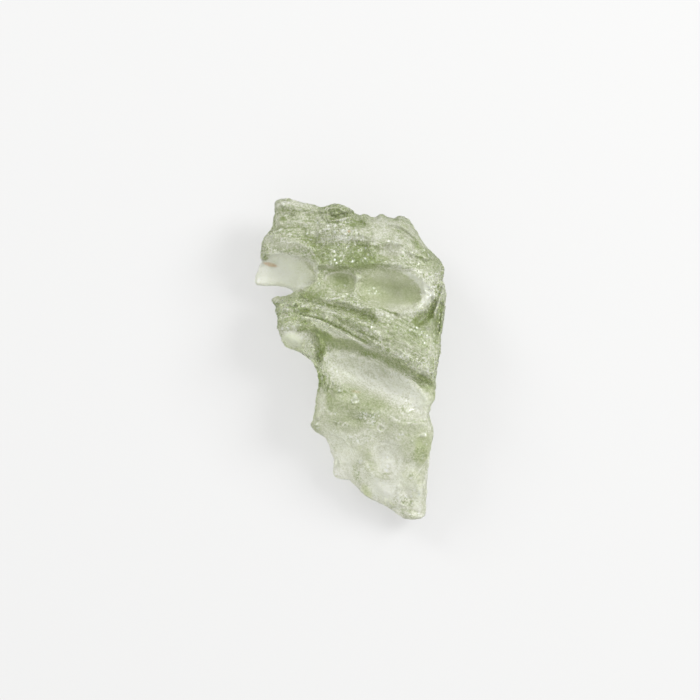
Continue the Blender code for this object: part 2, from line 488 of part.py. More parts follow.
def carve(co, blank_mm):
    """Move the points of a flat blank on to the two sides of the shard; co in mm."""
    u, v = co[:, 0] / SU + U0, V0 - co[:, 1] / SU
    t = np.clip(co[:, 2] / blank_mm, 0, 1)
    d = rim_distance(u, v)
    wt, wb, pt, pb = rim_widths(u, v)
    hi = top(u, v) + skin(u, v, 1.0)
    lo = np.maximum(bottom(u, v), 0.0)
    hi = np.maximum(hi, lo + 0.9)
    mid = lo + (hi - lo) * rim_height(u, v)
    ft = rim_curve(d, wt, pt)
    fb = rim_curve(d, wb, pb)
    hi_r = mid + RIM / 2 + (hi - mid - RIM / 2) * ft
    lo_r = mid - RIM / 2 - (mid - RIM / 2 - lo) * fb
    out = co.copy()
    out[:, 2] = lo_r + (hi_r - lo_r) * t
    return out


def clear_scene():
    for ob in list(bpy.data.objects):
        bpy.data.objects.remove(ob, do_unlink=True)


def outline_blank(collection):
    """The rim as a filled flat curve with thickness, turned into a closed mesh."""
    curve = bpy.data.curves.new("rim", "CURVE")
    curve.dimensions = "2D"
    curve.fill_mode = "BOTH"
    curve.extrude = BLANK / 2
    line = curve.splines.new("POLY")
    line.points.add(len(OUTLINE) - 1)
    for p, (u, v) in zip(line.points, OUTLINE):
        p.co = ((u - U0) * SU / 1000, (V0 - v) * SU / 1000, 0.0, 1.0)
    line.use_cyclic_u = True
    drawn = bpy.data.objects.new("rim", curve)
    drawn.location = (0, 0, BLANK / 2)
    collection.objects.link(drawn)
    bpy.context.view_layer.update()
    graph = bpy.context.evaluated_depsgraph_get()
    mesh = bpy.data.meshes.new_from_object(drawn.evaluated_get(graph))
    ob = bpy.data.objects.new("moldavite", mesh)
    mesh.transform(drawn.matrix_world)
    collection.objects.link(ob)
    bpy.data.objects.remove(drawn, do_unlink=True)
    bm = bmesh.new()
    bm.from_mesh(mesh)
    bmesh.ops.remove_doubles(bm, verts=bm.verts, dist=0.000002)
    bmesh.ops.triangulate(bm, faces=bm.faces)
    bmesh.ops.recalc_face_normals(bm, faces=bm.faces)
    bm.to_mesh(mesh)
    bm.free()
    return ob


def apply_modifier(ob, kind, **values):
    mod = ob.modifiers.new(kind.lower(), kind)
    for key, value in values.items():
        setattr(mod, key, value)
    graph = bpy.context.evaluated_depsgraph_get()
    mesh = bpy.data.meshes.new_from_object(ob.evaluated_get(graph))
    ob.modifiers.clear()
    old = ob.data
    ob.data = mesh
    bpy.data.meshes.remove(old)


def points(mesh):
    co = np.empty(len(mesh.vertices) * 3, np.float32)
    mesh.vertices.foreach_get("co", co)
    return co.reshape(-1, 3).astype(float)


def set_points(mesh, co):
    mesh.vertices.foreach_set("co", co.astype(np.float32).ravel())
    mesh.update()


def glass():
    mat = bpy.data.materials.new("moldavite_glass")
    mat.use_nodes = True
    bsdf = mat.node_tree.nodes["Principled BSDF"]
    bsdf.inputs["Base Color"].default_value = TINT
    bsdf.inputs["Roughness"].default_value = 0.3
    bsdf.inputs["Metallic"].default_value = 0.0
    bsdf.inputs["IOR"].default_value = 1.49
    mat.diffuse_color = TINT
    return mat


def main():
    clear_scene()
    parts = bpy.data.collections.new("moldavite")
    bpy.context.scene.collection.children.link(parts)
    stone = outline_blank(parts)
    apply_modifier(stone, "REMESH", mode="VOXEL", voxel_size=VOXEL_1)
    set_points(stone.data, carve(points(stone.data) * 1000, BLANK * 1000) / 1000)
    apply_modifier(stone, "REMESH", mode="VOXEL", voxel_size=VOXEL_2)
    co = points(stone.data)
    co[:, 2] = np.where(co[:, 2] < 0.00006, 0.0, co[:, 2])
    set_points(stone.data, co)
    faces = sum(len(p.vertices) - 2 for p in stone.data.polygons)
    apply_modifier(stone, "DECIMATE", ratio=TRIANGLES / faces)
    co = points(stone.data)
    co[:, 2] = np.where(co[:, 2] < 0.00003, 0.0, co[:, 2])
    set_points(stone.data, co)
    stone.data.materials.append(glass())
    stone.data.shade_smooth()


main()
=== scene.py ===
import math

import bmesh
import bpy
import numpy as np
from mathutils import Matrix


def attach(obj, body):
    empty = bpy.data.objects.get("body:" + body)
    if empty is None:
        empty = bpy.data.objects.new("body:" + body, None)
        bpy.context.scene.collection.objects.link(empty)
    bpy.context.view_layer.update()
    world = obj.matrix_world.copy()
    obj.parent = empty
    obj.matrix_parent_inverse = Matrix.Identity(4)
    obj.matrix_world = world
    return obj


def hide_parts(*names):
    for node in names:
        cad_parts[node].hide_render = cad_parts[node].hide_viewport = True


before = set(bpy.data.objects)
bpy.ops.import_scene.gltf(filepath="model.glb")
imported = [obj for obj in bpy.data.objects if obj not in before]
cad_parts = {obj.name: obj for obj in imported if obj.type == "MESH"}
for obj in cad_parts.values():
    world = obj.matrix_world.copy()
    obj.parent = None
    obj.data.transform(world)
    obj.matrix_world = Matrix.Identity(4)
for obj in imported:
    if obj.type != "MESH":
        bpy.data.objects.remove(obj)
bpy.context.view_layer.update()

# Moldavite shard lying on its back, the sculpted face up (+Z), long side along Y.
VOXEL_1 = 0.00013          # grid of the flat blank, m
VOXEL_2 = 0.000088         # grid of the carved stone, m
BLANK = 0.004              # thickness of the blank, m
RIM = 0.35                 # thickness of the worn rim, mm
MAX_TRIANGLES = 196000

# --------------------------------------------------------------------------
# Sketch grid: the stone is drawn seen from above on a grid of 0.08 mm squares,
# u to the right and v downwards; sketch point (U0, V0) lies on the origin.
# --------------------------------------------------------------------------
SU = 0.08                      # mm in one sketch square
U0, V0 = 350.3, 359.9

# Rim of the shard, clockwise from its upper left corner.
OUTLINE = [
    (275, 202.3), (278.7, 199.7), (284.7, 198.7), (290, 199.3), (296.7, 202), (307.3, 203.7),
    (315.3, 206), (320.7, 208), (323.3, 207.7), (330, 205.3), (334.7, 204.7), (340, 205),
    (346, 207), (350, 209), (354, 213), (359.3, 216.3), (362.7, 215), (366.7, 215),
    (371.3, 218), (376.7, 217), (381.3, 214.3), (384.7, 217), (388, 219), (395.3, 219.3),
    (400, 216.7), (403.3, 217.3), (408, 219.7), (411.3, 224.3), (416.7, 232.3), (420, 238.3),
    (424.7, 244.3), (430, 250.3), (434, 254.3), (438, 257), (441.3, 261.7), (444, 267),
    (443.3, 273.7), (442.3, 280.3), (445.3, 288.7), (446, 294.7), (445.3, 302), (444.3, 312),
    (443.3, 323.3), (442.7, 331.3), (441, 335.3), (440.7, 344), (440, 353.3), (438, 360.7),
    (436.7, 366.7), (435.3, 375.3), (435, 380.7), (436.3, 386), (435, 392.7), (434.3, 398.7),
    (432.7, 402.7), (429.7, 408), (428, 412.7), (429, 418.7), (431, 422.7), (432.3, 426),
    (433, 433.3), (432.3, 438.7), (431.3, 446.7), (430, 454.7), (429.3, 463.3), (428.7, 473.3),
    (427.7, 483.3), (427.3, 493.3), (426.3, 503.3), (425.7, 512), (425.3, 517.3), (422, 519.7),
    (414, 521), (406.7, 520.7), (402.7, 518.7), (396.7, 514.3), (390, 509.7), (383.3, 505.7),
    (376.7, 502.7), (370, 499.3), (364.7, 495.7), (360, 491.3), (356, 487.3), (353.3, 484),
    (350, 480.7), (343.3, 480), (338.7, 478.7), (334, 477.3), (333.3, 473.3), (333.3, 468),
    (334.7, 462.7), (332.7, 457.3), (330.7, 452), (330.7, 447.3), (328.7, 443.3), (326, 438.7),
    (321.3, 435.3), (316.7, 432), (313.3, 430.7), (311, 427.3), (310.7, 424), (312.7, 418.7),
    (314.7, 412.7), (315.3, 406.7), (316, 400), (317, 394.7), (318, 389.3), (319.3, 382.7),
    (319, 377.3), (317.5, 371.5), (316.3, 367.3), (313.3, 363.3), (308.7, 358.3), (304, 354.5),
    (299.7, 351.3), (294.3, 350), (288.3, 348), (285, 344.7), (281.7, 340.7), (281, 336.7),
    (279.7, 332.7), (277.7, 328), (277.3, 322.7), (278.3, 318.7), (277.7, 315.3), (276, 311.3),
    (276.3, 308), (275.7, 305), (273, 302.7), (271, 300), (273, 298), (277, 296.3),
    (281.7, 296.7), (285, 297), (291.7, 293.7), (295, 292), (296, 291), (294, 290.3),
    (290, 288.3), (287.3, 287), (283.3, 286), (276.7, 285), (270, 285), (263.3, 285),
    (256.7, 284.3), (254.7, 281), (255, 276.3), (256.7, 271.7), (258.7, 267), (260.3, 261.7),
    (261.3, 258.3), (260.7, 253.7), (261, 248.3), (262, 242.3), (264, 237.7), (266.7, 234.3),
    (270.7, 230.3), (273, 225), (274.3, 219.7), (275, 213.7), (275.3, 208.3),
]

# Spot heights of the upper side, mm above the table: (u, v, height).
TOP_SPOTS = [
    # upper edge
    (277, 203, 4.6), (298, 206, 5.0), (318, 210, 5.4), (335, 207, 6.0), (358, 218, 5.6),
    (384, 218, 5.5), (404, 221, 5.0), (418, 237, 4.9), (433, 256, 4.6),
    # upper left block
    (265, 240, 4.1), (263, 256, 4.0), (284, 222, 4.9), (284, 246, 4.9), (304, 228, 5.6),
    (306, 252, 5.2), (316, 262, 5.2),
    # plateau
    (332, 230, 6.4), (360, 233, 6.8), (388, 233, 6.4), (408, 243, 5.9), (425, 258, 5.5),
    (332, 252, 6.3), (360, 254, 6.8), (388, 254, 6.5), (412, 264, 6.1),
    # brow over the scoops
    (322, 270, 5.7), (345, 267, 6.3), (375, 266, 6.6), (400, 268, 6.5), (432, 276, 5.8),
    # ground the scoops are cut into
    (330, 290, 6.0), (360, 292, 6.2), (392, 292, 6.3), (428, 296, 6.0), (441, 300, 5.0),
    # beak
    (274, 300, 3.6), (280, 314, 4.4), (283, 330, 4.1), (296, 300, 5.1), (310, 293, 5.6),
    (300, 318, 5.4), (296, 338, 4.3), (304, 350, 4.0),
    # ridge bundle
    (320, 308, 6.3), (342, 318, 6.7), (362, 328, 6.9), (385, 336, 6.8), (408, 345, 6.5),
    (428, 352, 6.0), (437, 345, 5.3), (405, 325, 6.5), (428, 330, 5.7),
    # furrow under the bundle
    (316, 346, 4.6), (335, 352, 4.7), (360, 361, 4.9), (390, 375, 5.1), (418, 390, 5.1),
    (433, 396, 4.6),
    # pale trough
    (335, 375, 4.6), (362, 380, 4.3), (390, 394, 4.4), (418, 408, 4.5),
    # left edge
    (319, 372, 4.2), (319, 395, 4.1), (313, 424, 3.5), (328, 385, 4.7), (327, 412, 4.4),
    # olive band
    (345, 402, 4.8), (370, 412, 5.1), (398, 424, 5.1), (424, 430, 4.6),
    (340, 424, 4.3), (362, 432, 4.7), (386, 437, 4.8), (412, 442, 4.7), (428, 450, 4.2),
    # lower blade
    (362, 450, 4.2), (372, 470, 3.8), (386, 457, 4.5), (405, 458, 4.4), (398, 478, 3.8),
    (416, 474, 3.7), (426, 476, 3.0), (382, 488, 3.0), (398, 500, 2.8), (412, 490, 3.2),
    (424, 500, 2.4), (410, 515, 1.9), (422, 516, 1.9), (372, 496, 2.2),
    # thin lower left flap
    (330, 442, 2.6), (342, 452, 2.4), (338, 472, 1.7), (352, 470, 2.4), (355, 484, 1.8),
]

# Spot heights of the underside, mm above the table.
BOTTOM_SPOTS = [
    (280, 203, 2.4), (320, 210, 2.0), (360, 219, 1.7), (402, 221, 2.0), (432, 256, 2.0),
    (264, 242, 2.1), (262, 258, 1.6), (262, 280, 1.0), (288, 280, 0.9), (300, 240, 1.2),
    (274, 300, 2.4), (279, 325, 2.3), (290, 343, 2.2), (302, 315, 1.4), (318, 372, 1.7),
    (317, 400, 1.7), (312, 426, 2.0), (332, 450, 1.1), (338, 474, 0.8), (356, 486, 0.8),
    (376, 500, 0.9), (405, 517, 0.9), (424, 516, 0.8), (428, 470, 1.3), (431, 430, 1.6),
    (434, 390, 1.7), (440, 340, 1.9), (444, 295, 2.1), (400, 245, 0.5), (350, 245, 0.3),
    (330, 270, 0.1), (400, 285, 0.1), (415, 320, 0.4), (365, 300, -0.25), (345, 330, -0.1),
    (385, 340, -0.3), (350, 370, 0.0), (400, 380, 0.1), (370, 400, -0.15), (395, 425, 0.1),
    (360, 440, 0.3), (385, 465, 0.1), (405, 490, 0.35),
]


def plate(spots):
    """Smooth sheet (a bent thin plate) through a list of spot heights."""
    p = np.array([(s[0] / 100.0, s[1] / 100.0) for s in spots])
    h = np.array([s[2] for s in spots])
    n = len(p)

    def bend(r2):
        return r2 * np.log(r2 + 1e-12)

    r2 = ((p[:, None, :] - p[None, :, :]) ** 2).sum(-1)
    a = np.zeros((n + 3, n + 3))
    a[:n, :n] = bend(r2) + 2e-4 * np.eye(n)
    a[:n, n] = 1.0
    a[:n, n + 1:] = p
    a[n, :n] = 1.0
    a[n + 1:, :n] = p.T
    w = np.linalg.solve(a, np.concatenate([h, np.zeros(3)]))

    def height(u, v):
        x, y = u / 100.0, v / 100.0
        z = w[n] + w[n + 1] * x + w[n + 2] * y
        for i in range(n):
            z = z + w[i] * bend((x - p[i, 0]) ** 2 + (y - p[i, 1]) ** 2)
        return z

    return height


TOP_PLATE = plate(TOP_SPOTS)
BOTTOM_PLATE = plate(BOTTOM_SPOTS)


# ---- noise -----------------------------------------------------------------
def lattice(ix, iy, iz, seed):
    h = (ix * 374761393 + iy * 668265263 + iz * 1440662683 + seed * 362437) & 0xFFFFFFFF
    h = ((h ^ (h >> 13)) * 1274126177) & 0xFFFFFFFF
    h = ((h ^ (h >> 15)) * 2246822519) & 0xFFFFFFFF
    return h ^ (h >> 16)


def noise(x, y, z=0.0, seed=0):
    """Gradient noise, about -1 to 1, one wave to the unit."""
    x, y, z = np.broadcast_arrays(np.asarray(x, float), np.asarray(y, float), np.asarray(z, float))
    ix, iy, iz = np.floor(x).astype(np.int64), np.floor(y).astype(np.int64), np.floor(z).astype(np.int64)
    fx, fy, fz = x - ix, y - iy, z - iz
    sx, sy, sz = (f * f * f * (f * (f * 6 - 15) + 10) for f in (fx, fy, fz))
    total = 0.0
    for cx in (0, 1):
        wx = sx if cx else 1 - sx
        for cy in (0, 1):
            wy = sy if cy else 1 - sy
            for cz in (0, 1):
                wz = sz if cz else 1 - sz
                h = lattice(ix + cx, iy + cy, iz + cz, seed)
                gx = (h & 1023) / 511.5 - 1.0
                gy = ((h >> 10) & 1023) / 511.5 - 1.0
                gz = ((h >> 20) & 1023) / 511.5 - 1.0
                total = total + wx * wy * wz * (gx * (fx - cx) + gy * (fy - cy) + gz * (fz - cz))
    return total * 1.6


def fractal(x, y, z=0.0, seed=0, octaves=4, gain=0.5):
    total, amp, f = 0.0, 1.0, 1.0
    for k in range(octaves):
        total = total + amp * noise(x * f, y * f, np.asarray(z) * f, seed + 17 * k)
        amp *= gain
        f *= 2.03
    return total


def cells(x, y, seed=0):
    """Distance to the nearest and second nearest of scattered points, one to the unit square."""
    ix, iy = np.floor(x).astype(np.int64), np.floor(y).astype(np.int64)
    d1, d2 = np.full(np.shape(x), 9.0), np.full(np.shape(x), 9.0)
    for cx in (-1, 0, 1):
        for cy in (-1, 0, 1):
            h = lattice(ix + cx, iy + cy, ix * 0 + 5, seed)
            px = ix + cx + (h & 1023) / 1023.0
            py = iy + cy + ((h >> 10) & 1023) / 1023.0
            d = np.sqrt((x - px) ** 2 + (y - py) ** 2)
            d2 = np.minimum(d2, np.maximum(d1, d))
            d1 = np.minimum(d1, d)
    return d1, d2


# ---- strokes ---------------------------------------------------------------
def smooth(t):
    t = np.clip(t, 0.0, 1.0)
    return t * t * (3 - 2 * t)


def along_line(u, v, pts):
    """Distance to a polyline, place along it (0 to 1), and which side (-1 above, +1 below)."""
    best = np.full(np.shape(u), 1e9)
    where = np.zeros(np.shape(u))
    side = np.ones(np.shape(u))
    lens = [math.hypot(b[0] - a[0], b[1] - a[1]) for a, b in zip(pts, pts[1:])]
    whole, gone = sum(lens), 0.0
    for (a, b), ln in zip(zip(pts, pts[1:]), lens):
        eu, ev = (b[0] - a[0]) / ln, (b[1] - a[1]) / ln
        s = np.clip((u - a[0]) * eu + (v - a[1]) * ev, 0, ln)
        d = np.hypot(u - a[0] - s * eu, v - a[1] - s * ev)
        cross = eu * (v - a[1]) - ev * (u - a[0])
        near = d < best
        best = np.where(near, d, best)
        where = np.where(near, (gone + s) / whole, where)
        side = np.where(near, np.sign(cross), side)
        gone += ln
    return best, where, side


def ends(where, e0=0.12, e1=0.12):
    f = 1.0
    if e0 > 0:
        f = f * smooth(where / e0)
    if e1 > 0:
        f = f * smooth((1 - where) / e1)
    return f


def ridge(u, v, pts, high, width, below=None, e0=0.12, e1=0.12, sharp=2.0):
    """A rise along a line; width is its half width above the line, below the one under it."""
    d, w, s = along_line(u, v, pts)
    half = np.where(s > 0, width if below is None else below, width)
    return high * np.exp(-(d / half) ** sharp) * ends(w, e0, e1)


def ledge(u, v, pts, drop, width, reach, e0=0.12, e1=0.12):
    """Ground stands higher above the line than below it, and runs level again after reach."""
    d, w, s = along_line(u, v, pts)
    return -0.5 * drop * np.tanh(s * d / width) * np.exp(-(d / reach) ** 2) * ends(w, e0, e1)


def oval(u, v, cu, cv, ru, rv, deg=0.0):
    """Radius in an ellipse: 0 at its middle, 1 on its edge."""
    c, s = math.cos(math.radians(deg)), math.sin(math.radians(deg))
    a = (u - cu) * c + (v - cv) * s
    b = -(u - cu) * s + (v - cv) * c
    return np.sqrt((a / ru) ** 2 + (b / rv) ** 2)


def scoop(u, v, cu, cv, ru, rv, deg, depth, rim=0.0, flat=2.0, soft=0.8):
    """A bowl and, round it, a low rim; its edge is crisp when soft is under 1."""
    r = oval(u, v, cu, cv, ru, rv, deg)
    bowl = -depth * np.clip(1 - r ** flat, 0, None) ** soft
    return bowl + rim * np.exp(-((r - 1.06) / 0.13) ** 2)


def inside(u, v, poly):
    """Even-odd test of points against a closed polygon."""
    hit = np.zeros(np.shape(u), bool)
    for (au, av), (bu, bv) in zip(poly, poly[1:] + poly[:1]):
        if av == bv:
            continue
        cross = ((av > v) != (bv > v)) & (u < (bu - au) * (v - av) / (bv - av) + au)
        hit ^= cross
    return hit


# ---- the upper side --------------------------------------------------------
FLAP_EDGE = [(250, 258), (262, 258.5), (270, 255), (276.7, 253.2), (282, 253.3), (287.3, 254.3),
             (295.3, 256), (303.3, 258.7), (308.7, 260.7), (314, 262.3), (316.2, 266.3), (315.4, 271.7),
             (315.2, 278.3), (313.6, 284.3), (310.3, 286.6), (305, 287.6), (298.3, 289.6), (291.7, 293),
             (284, 294), (250, 292)]
STEP_LINE = [(296, 316), (312, 321), (318, 326.5), (328, 334), (338, 338.6), (350, 341.5), (362, 346.5),
             (372, 350.5), (380, 353.5), (390, 358), (398, 362.5), (405, 363.5), (415, 371), (425, 377),
             (440, 387)]
CREASE = [(292, 311), (299, 314.5), (305, 316), (312, 317), (320, 319.5), (330, 323.8), (340, 328.2),
          (350, 333.6), (360, 339.2), (371, 345.5), (379, 351)]
FLAP_STEP = [(322, 433), (330, 434.5), (338, 435.5), (346, 440), (352, 448), (356, 455), (362, 464),
             (367, 473), (372, 482), (380, 492), (392, 505)]


def top(u, v):
    """Height of the upper side, mm, before the rim is rounded off."""
    z = TOP_PLATE(u, v)
    u, v = (u + 1.5 * noise(u / 13, v / 13, 0.2, 31) + 0.6 * noise(u / 5, v / 5, 0.2, 33),
            v + 1.5 * noise(u / 13, v / 13, 0.6, 32) + 0.6 * noise(u / 5, v / 5, 0.6, 34))

    # knobs and saddles of the upper edge and the plateau
    z = z + ridge(u, v, [(316, 211), (326, 207), (336, 205), (346, 208), (353, 213)], 0.45, 5)
    z = z - ridge(u, v, [(329, 217), (340, 218.5), (350, 216), (357, 214)], 0.55, 2.6)
    z = z + ridge(u, v, [(326, 223), (334, 222.6), (344, 221.5), (352, 218)], 0.28, 1.8)
    z = z - 0.6 * np.exp(-oval(u, v, 359, 224, 8, 4, 20) ** 2)
    z = z - 0.35 * np.exp(-oval(u, v, 288, 217, 9, 4.5, 20) ** 2)
    z = z + ridge(u, v, [(279, 203), (292, 207), (306, 209), (318, 213)], 0.20, 3.5)
    z = z - ridge(u, v, [(275, 229), (290, 231), (306, 229), (322, 226)], 0.2, 3.0)
    z = z + ridge(u, v, [(268, 238), (282, 240), (298, 243), (310, 249), (316, 258)], 0.4, 4)
    z = z - ridge(u, v, [(384, 229), (392, 229.5), (400, 231), (408, 236), (415, 243), (421, 249)], 0.45, 2.6)
    z = z - 0.45 * np.clip(1 - oval(u, v, 389, 254, 12, 7.5, -12) ** 2, 0, None)
    z = z + ridge(u, v, [(374, 249), (382, 245), (394, 243), (404, 247)], 0.25, 2.5)
    z = z - 0.35 * np.clip(1 - oval(u, v, 397, 238, 5.5, 8, 20) ** 2, 0, None)
    z = z - ridge(u, v, [(308, 240), (322, 243), (340, 246), (358, 247), (372, 252)], 0.5, 7)
    z = z + ridge(u, v, [(404, 252), (416, 255), (430, 259)], 0.25, 3)
    # brow that hangs over the scoops
    z = z + ledge(u, v, [(312, 268), (330, 269.5), (345, 270), (352, 271.5), (360, 270), (375, 268),
                         (395, 268.5), (408, 270.8), (420, 275)], 0.9, 2.2, 9, 0.05, 0.22)
    # the two scoops and the narrow saddle between them
    z = z + scoop(u, v, 390, 291, 35, 22, 7, 1.55, 0.06, 2.0, 1.3)
    z = z + scoop(u, v, 341, 281.5, 18, 11.5, 12, 0.95, 0.05, 2.1, 1.1)
    z = z - 0.38 * np.exp(-oval(u, v, 406, 295, 15, 11, 10) ** 2)
    z = z - 0.12 * np.exp(-oval(u, v, 368, 283, 12, 9, 0) ** 2)
    z = z + ridge(u, v, [(355, 271), (357, 280), (356, 290), (352, 299)], 0.15, 2.6)
    # shelf under the scoops, with its long flow lines
    z = z + ridge(u, v, [(316, 297), (330, 300.5), (346, 304), (362, 308.5), (376, 310.5)], 0.22, 5)
    z = z + ledge(u, v, [(370, 310.5), (377, 308.6), (384, 309.6), (392, 313), (401, 316.5)], 0.4, 1.0, 5)
    # ridge bundle that runs down to the right
    z = z - ridge(u, v, [(296, 293), (305, 297), (314, 302), (322, 304.5), (335, 306.5), (350, 310.5),
                         (362, 314.5), (372, 319), (379, 327)], 0.90, 3.6, None, 0.1, 0.12)
    z = z + ridge(u, v, [(306, 300), (314, 304), (322, 309), (334, 314), (347, 318.5), (361, 324),
                         (374, 330)], 0.45, 2.6, 4)
    z = z - ridge(u, v, [(352, 329.5), (362, 333.5), (370, 337), (380, 342.5)], 0.28, 1.1)
    z = z - ridge(u, v, [(357, 335.5), (364, 339), (371, 343.5)], 0.2, 0.9)
    z = z - ridge(u, v, CREASE, 0.38, 1.0, 0.9, 0.06, 0.06)
    z = z + ridge(u, v, [(301, 316), (312, 319), (322, 323), (334, 329), (346, 335.5), (358, 342),
                         (370, 349)], 0.32, 1.6, 3.0, 0.05, 0.1)
    z = z + ledge(u, v, STEP_LINE, 0.7, 3.0, 13, 0.03, 0.02)
    z = z - ridge(u, v, [(312, 331), (322, 338), (334, 344.5), (350, 346.5), (366, 351), (382, 358),
                         (398, 367), (412, 375), (426, 383), (440, 391)], 0.7, 4.5, 7.0, 0.05, 0.02)
    z = z - ridge(u, v, [(312, 329), (318, 338), (321, 348), (320, 357), (322, 364)], 0.9, 3.6)
    # beak: parallel flutes, then the round lobe under them
    z = z - ridge(u, v, [(296, 311), (304, 310.8), (313, 311.5)], 0.5, 1.5)
    z = z - ridge(u, v, [(286, 306), (294, 307.5), (301, 305)], 0.35, 1.8)
    z = z - ridge(u, v, [(278, 316), (284, 314), (291, 315)], 0.3, 1.8)
    z = z + ridge(u, v, [(280, 326.5), (290, 327.5), (300, 325.5), (307, 325)], 0.35, 1.6)
    z = z - ridge(u, v, [(296, 331), (304, 329.5), (312, 331.5), (317, 335)], 0.5, 2.2)
    z = z + 0.8 * np.exp(-oval(u, v, 294, 340, 10, 7, 25) ** 2)
    z = z + ridge(u, v, [(302, 344), (309, 350), (314, 357)], 0.35, 3.0)
    # the left edge of the waist
    z = z + ridge(u, v, [(323, 352), (323.5, 362), (326, 372), (327, 378), (325, 388), (324, 400),
                         (321, 412), (316, 425)], 0.55, 2.0)
    z = z - ridge(u, v, [(331, 380), (331, 390), (330.5, 400), (331, 414)], 0.16, 2.4)
    # broad pale trough and the band under it
    z = z - 0.75 * np.clip(1 - oval(u, v, 376, 381, 52, 16, 22) ** 2, 0, None)
    z = z + ridge(u, v, [(333, 404), (348, 402), (362, 405), (378, 410), (394, 416), (412, 421),
                         (430, 424)], 0.3, 7)
    z = z - ridge(u, v, [(384, 409.5), (393, 416.5), (400, 419.5), (415, 421.6), (431, 420.6)], 0.08, 1.6)
    z = z + scoop(u, v, 355, 401, 4.2, 4.0, 0, -0.3, 0.0)
    z = z + scoop(u, v, 339, 390, 2.8, 2.6, 0, -0.22, 0.0)
    z = z + scoop(u, v, 381, 428, 3.4, 3.2, 0, 0.1, 0.08)
    z = z + scoop(u, v, 341.5, 424, 2.3, 2.3, 0, 0.2, 0.1)
    z = z + scoop(u, v, 336, 424.5, 2.3, 2.3, 0, 0.2, 0.1)
    z = z + scoop(u, v, 423, 434.5, 3.4, 2.4, 0, -0.25, 0.0)
    z = z - 0.35 * np.exp(-oval(u, v, 356, 420, 9, 6, 0) ** 2)
    # knob on the left at the foot of the waist
    z = z + 0.5 * np.exp(-oval(u, v, 314.5, 426, 4, 3.5, 20) ** 2)
    # the thin flap steps down under the blade
    z = z + ledge(u, v, FLAP_STEP, 0.5, 2.2, 7, 0.08, 0.1)
    z = z + ridge(u, v, [(328, 434.5), (336, 436), (344, 440), (350, 447)], 0.22, 1.2)
    z = z + ridge(u, v, [(332, 450), (338, 457), (343, 463), (352, 462)], 0.10, 1.8)
    # round hollow, its terraces and its rim
    z = z - 0.85 * np.exp(-oval(u, v, 384, 458, 14, 15.5, 8) ** 2)
    z = z + 0.22 * np.exp(-oval(u, v, 388, 462, 7, 11, 10) ** 2)
    z = z - ridge(u, v, [(371, 446), (378, 442.5), (388, 442), (397, 446)], 0.06, 1.2)
    z = z - ridge(u, v, [(374, 449.5), (380, 446.8), (388, 446.5), (395, 450)], 0.05, 1.1)
    z = z + ridge(u, v, [(357, 455), (363, 463), (369, 471), (374, 479)], 0.04, 1.8)
    z = z + ridge(u, v, [(374, 474.5), (381, 478.6), (389, 479), (398, 474)], 0.05, 2.0)
    # tip: second hollow and the flat split face along the right side
    z = z - 0.75 * np.exp(-oval(u, v, 409, 495, 9.5, 11, 10) ** 2)
    z = z + ridge(u, v, [(400, 483), (398, 492), (400, 503), (406, 508)], 0.2, 1.8)
    cut = 3.75 - 0.105 * (u - 412) - 0.012 * (v - 470)
    z = np.where(inside(u, v, [(431, 452), (434, 487), (412, 487)]), np.minimum(z, cut), z)
    # right shoulder: pale wall beside the scoop, sharp arris, split face
    z = z + ridge(u, v, [(418, 279), (428, 285), (434, 292), (435, 301), (428, 309), (417, 314)], 0.25, 3.5)
    z = z - ridge(u, v, [(436, 300), (430, 309), (422, 318), (414, 324)], 0.75, 4.5)
    z = z + ridge(u, v, [(443, 283), (441, 293), (438, 302), (435, 311), (433.5, 320)], 0.55, 1.4, 1.4)
    z = z - ridge(u, v, [(444, 303), (440, 313), (438, 325), (437, 336)], 0.7, 3.2)

    # upper left flap: thin, and well below the block above it
    flap = 2.5 + 0.012 * (u - 285) - 0.006 * (v - 270) + 0.18 * np.exp(-oval(u, v, 302, 277, 12, 8, 0) ** 2) \
        + 0.16 * noise(u / 13, v / 11, 3.0, 41)
    z = np.where(inside(u, v, FLAP_EDGE), flap, z)
    # nub that peeps out behind the beak
    z = np.where((u < 281.5) & (v > 293) & (v < 304), 3.3 + 0 * u, z)
    return z


# Flow lines: (u, v, half length, half width, turn of the patch, direction of the lines, spacing, height)
FLOW = [
    (330, 226, 70, 20, 5, 7, 3.6, 0.07), (400, 240, 35, 22, 35, 32, 3.8, 0.06),
    (345, 320, 45, 14, 25, 25, 3.3, 0.15), (345, 301, 40, 8, 10, 11, 3.2, 0.07),
    (405, 340, 32, 22, 25, 27, 4.0, 0.09), (293, 312, 20, 18, 5, 8, 4.2, 0.13),
    (385, 385, 55, 25, 22, 40, 4.4, 0.035), (345, 405, 30, 16, 12, 14, 4.0, 0.02),
    (322, 395, 8, 45, 3, 92, 3.0, 0.08), (400, 425, 35, 12, 5, 6, 4.0, 0.025),
    (420, 445, 14, 20, 0, -35, 3.6, 0.06), (360, 478, 18, 25, -25, 60, 4.0, 0.06),
    (398, 508, 28, 8, 18, 20, 2.8, 0.06), (436, 330, 9, 45, 3, 100, 3.2, 0.08),
]


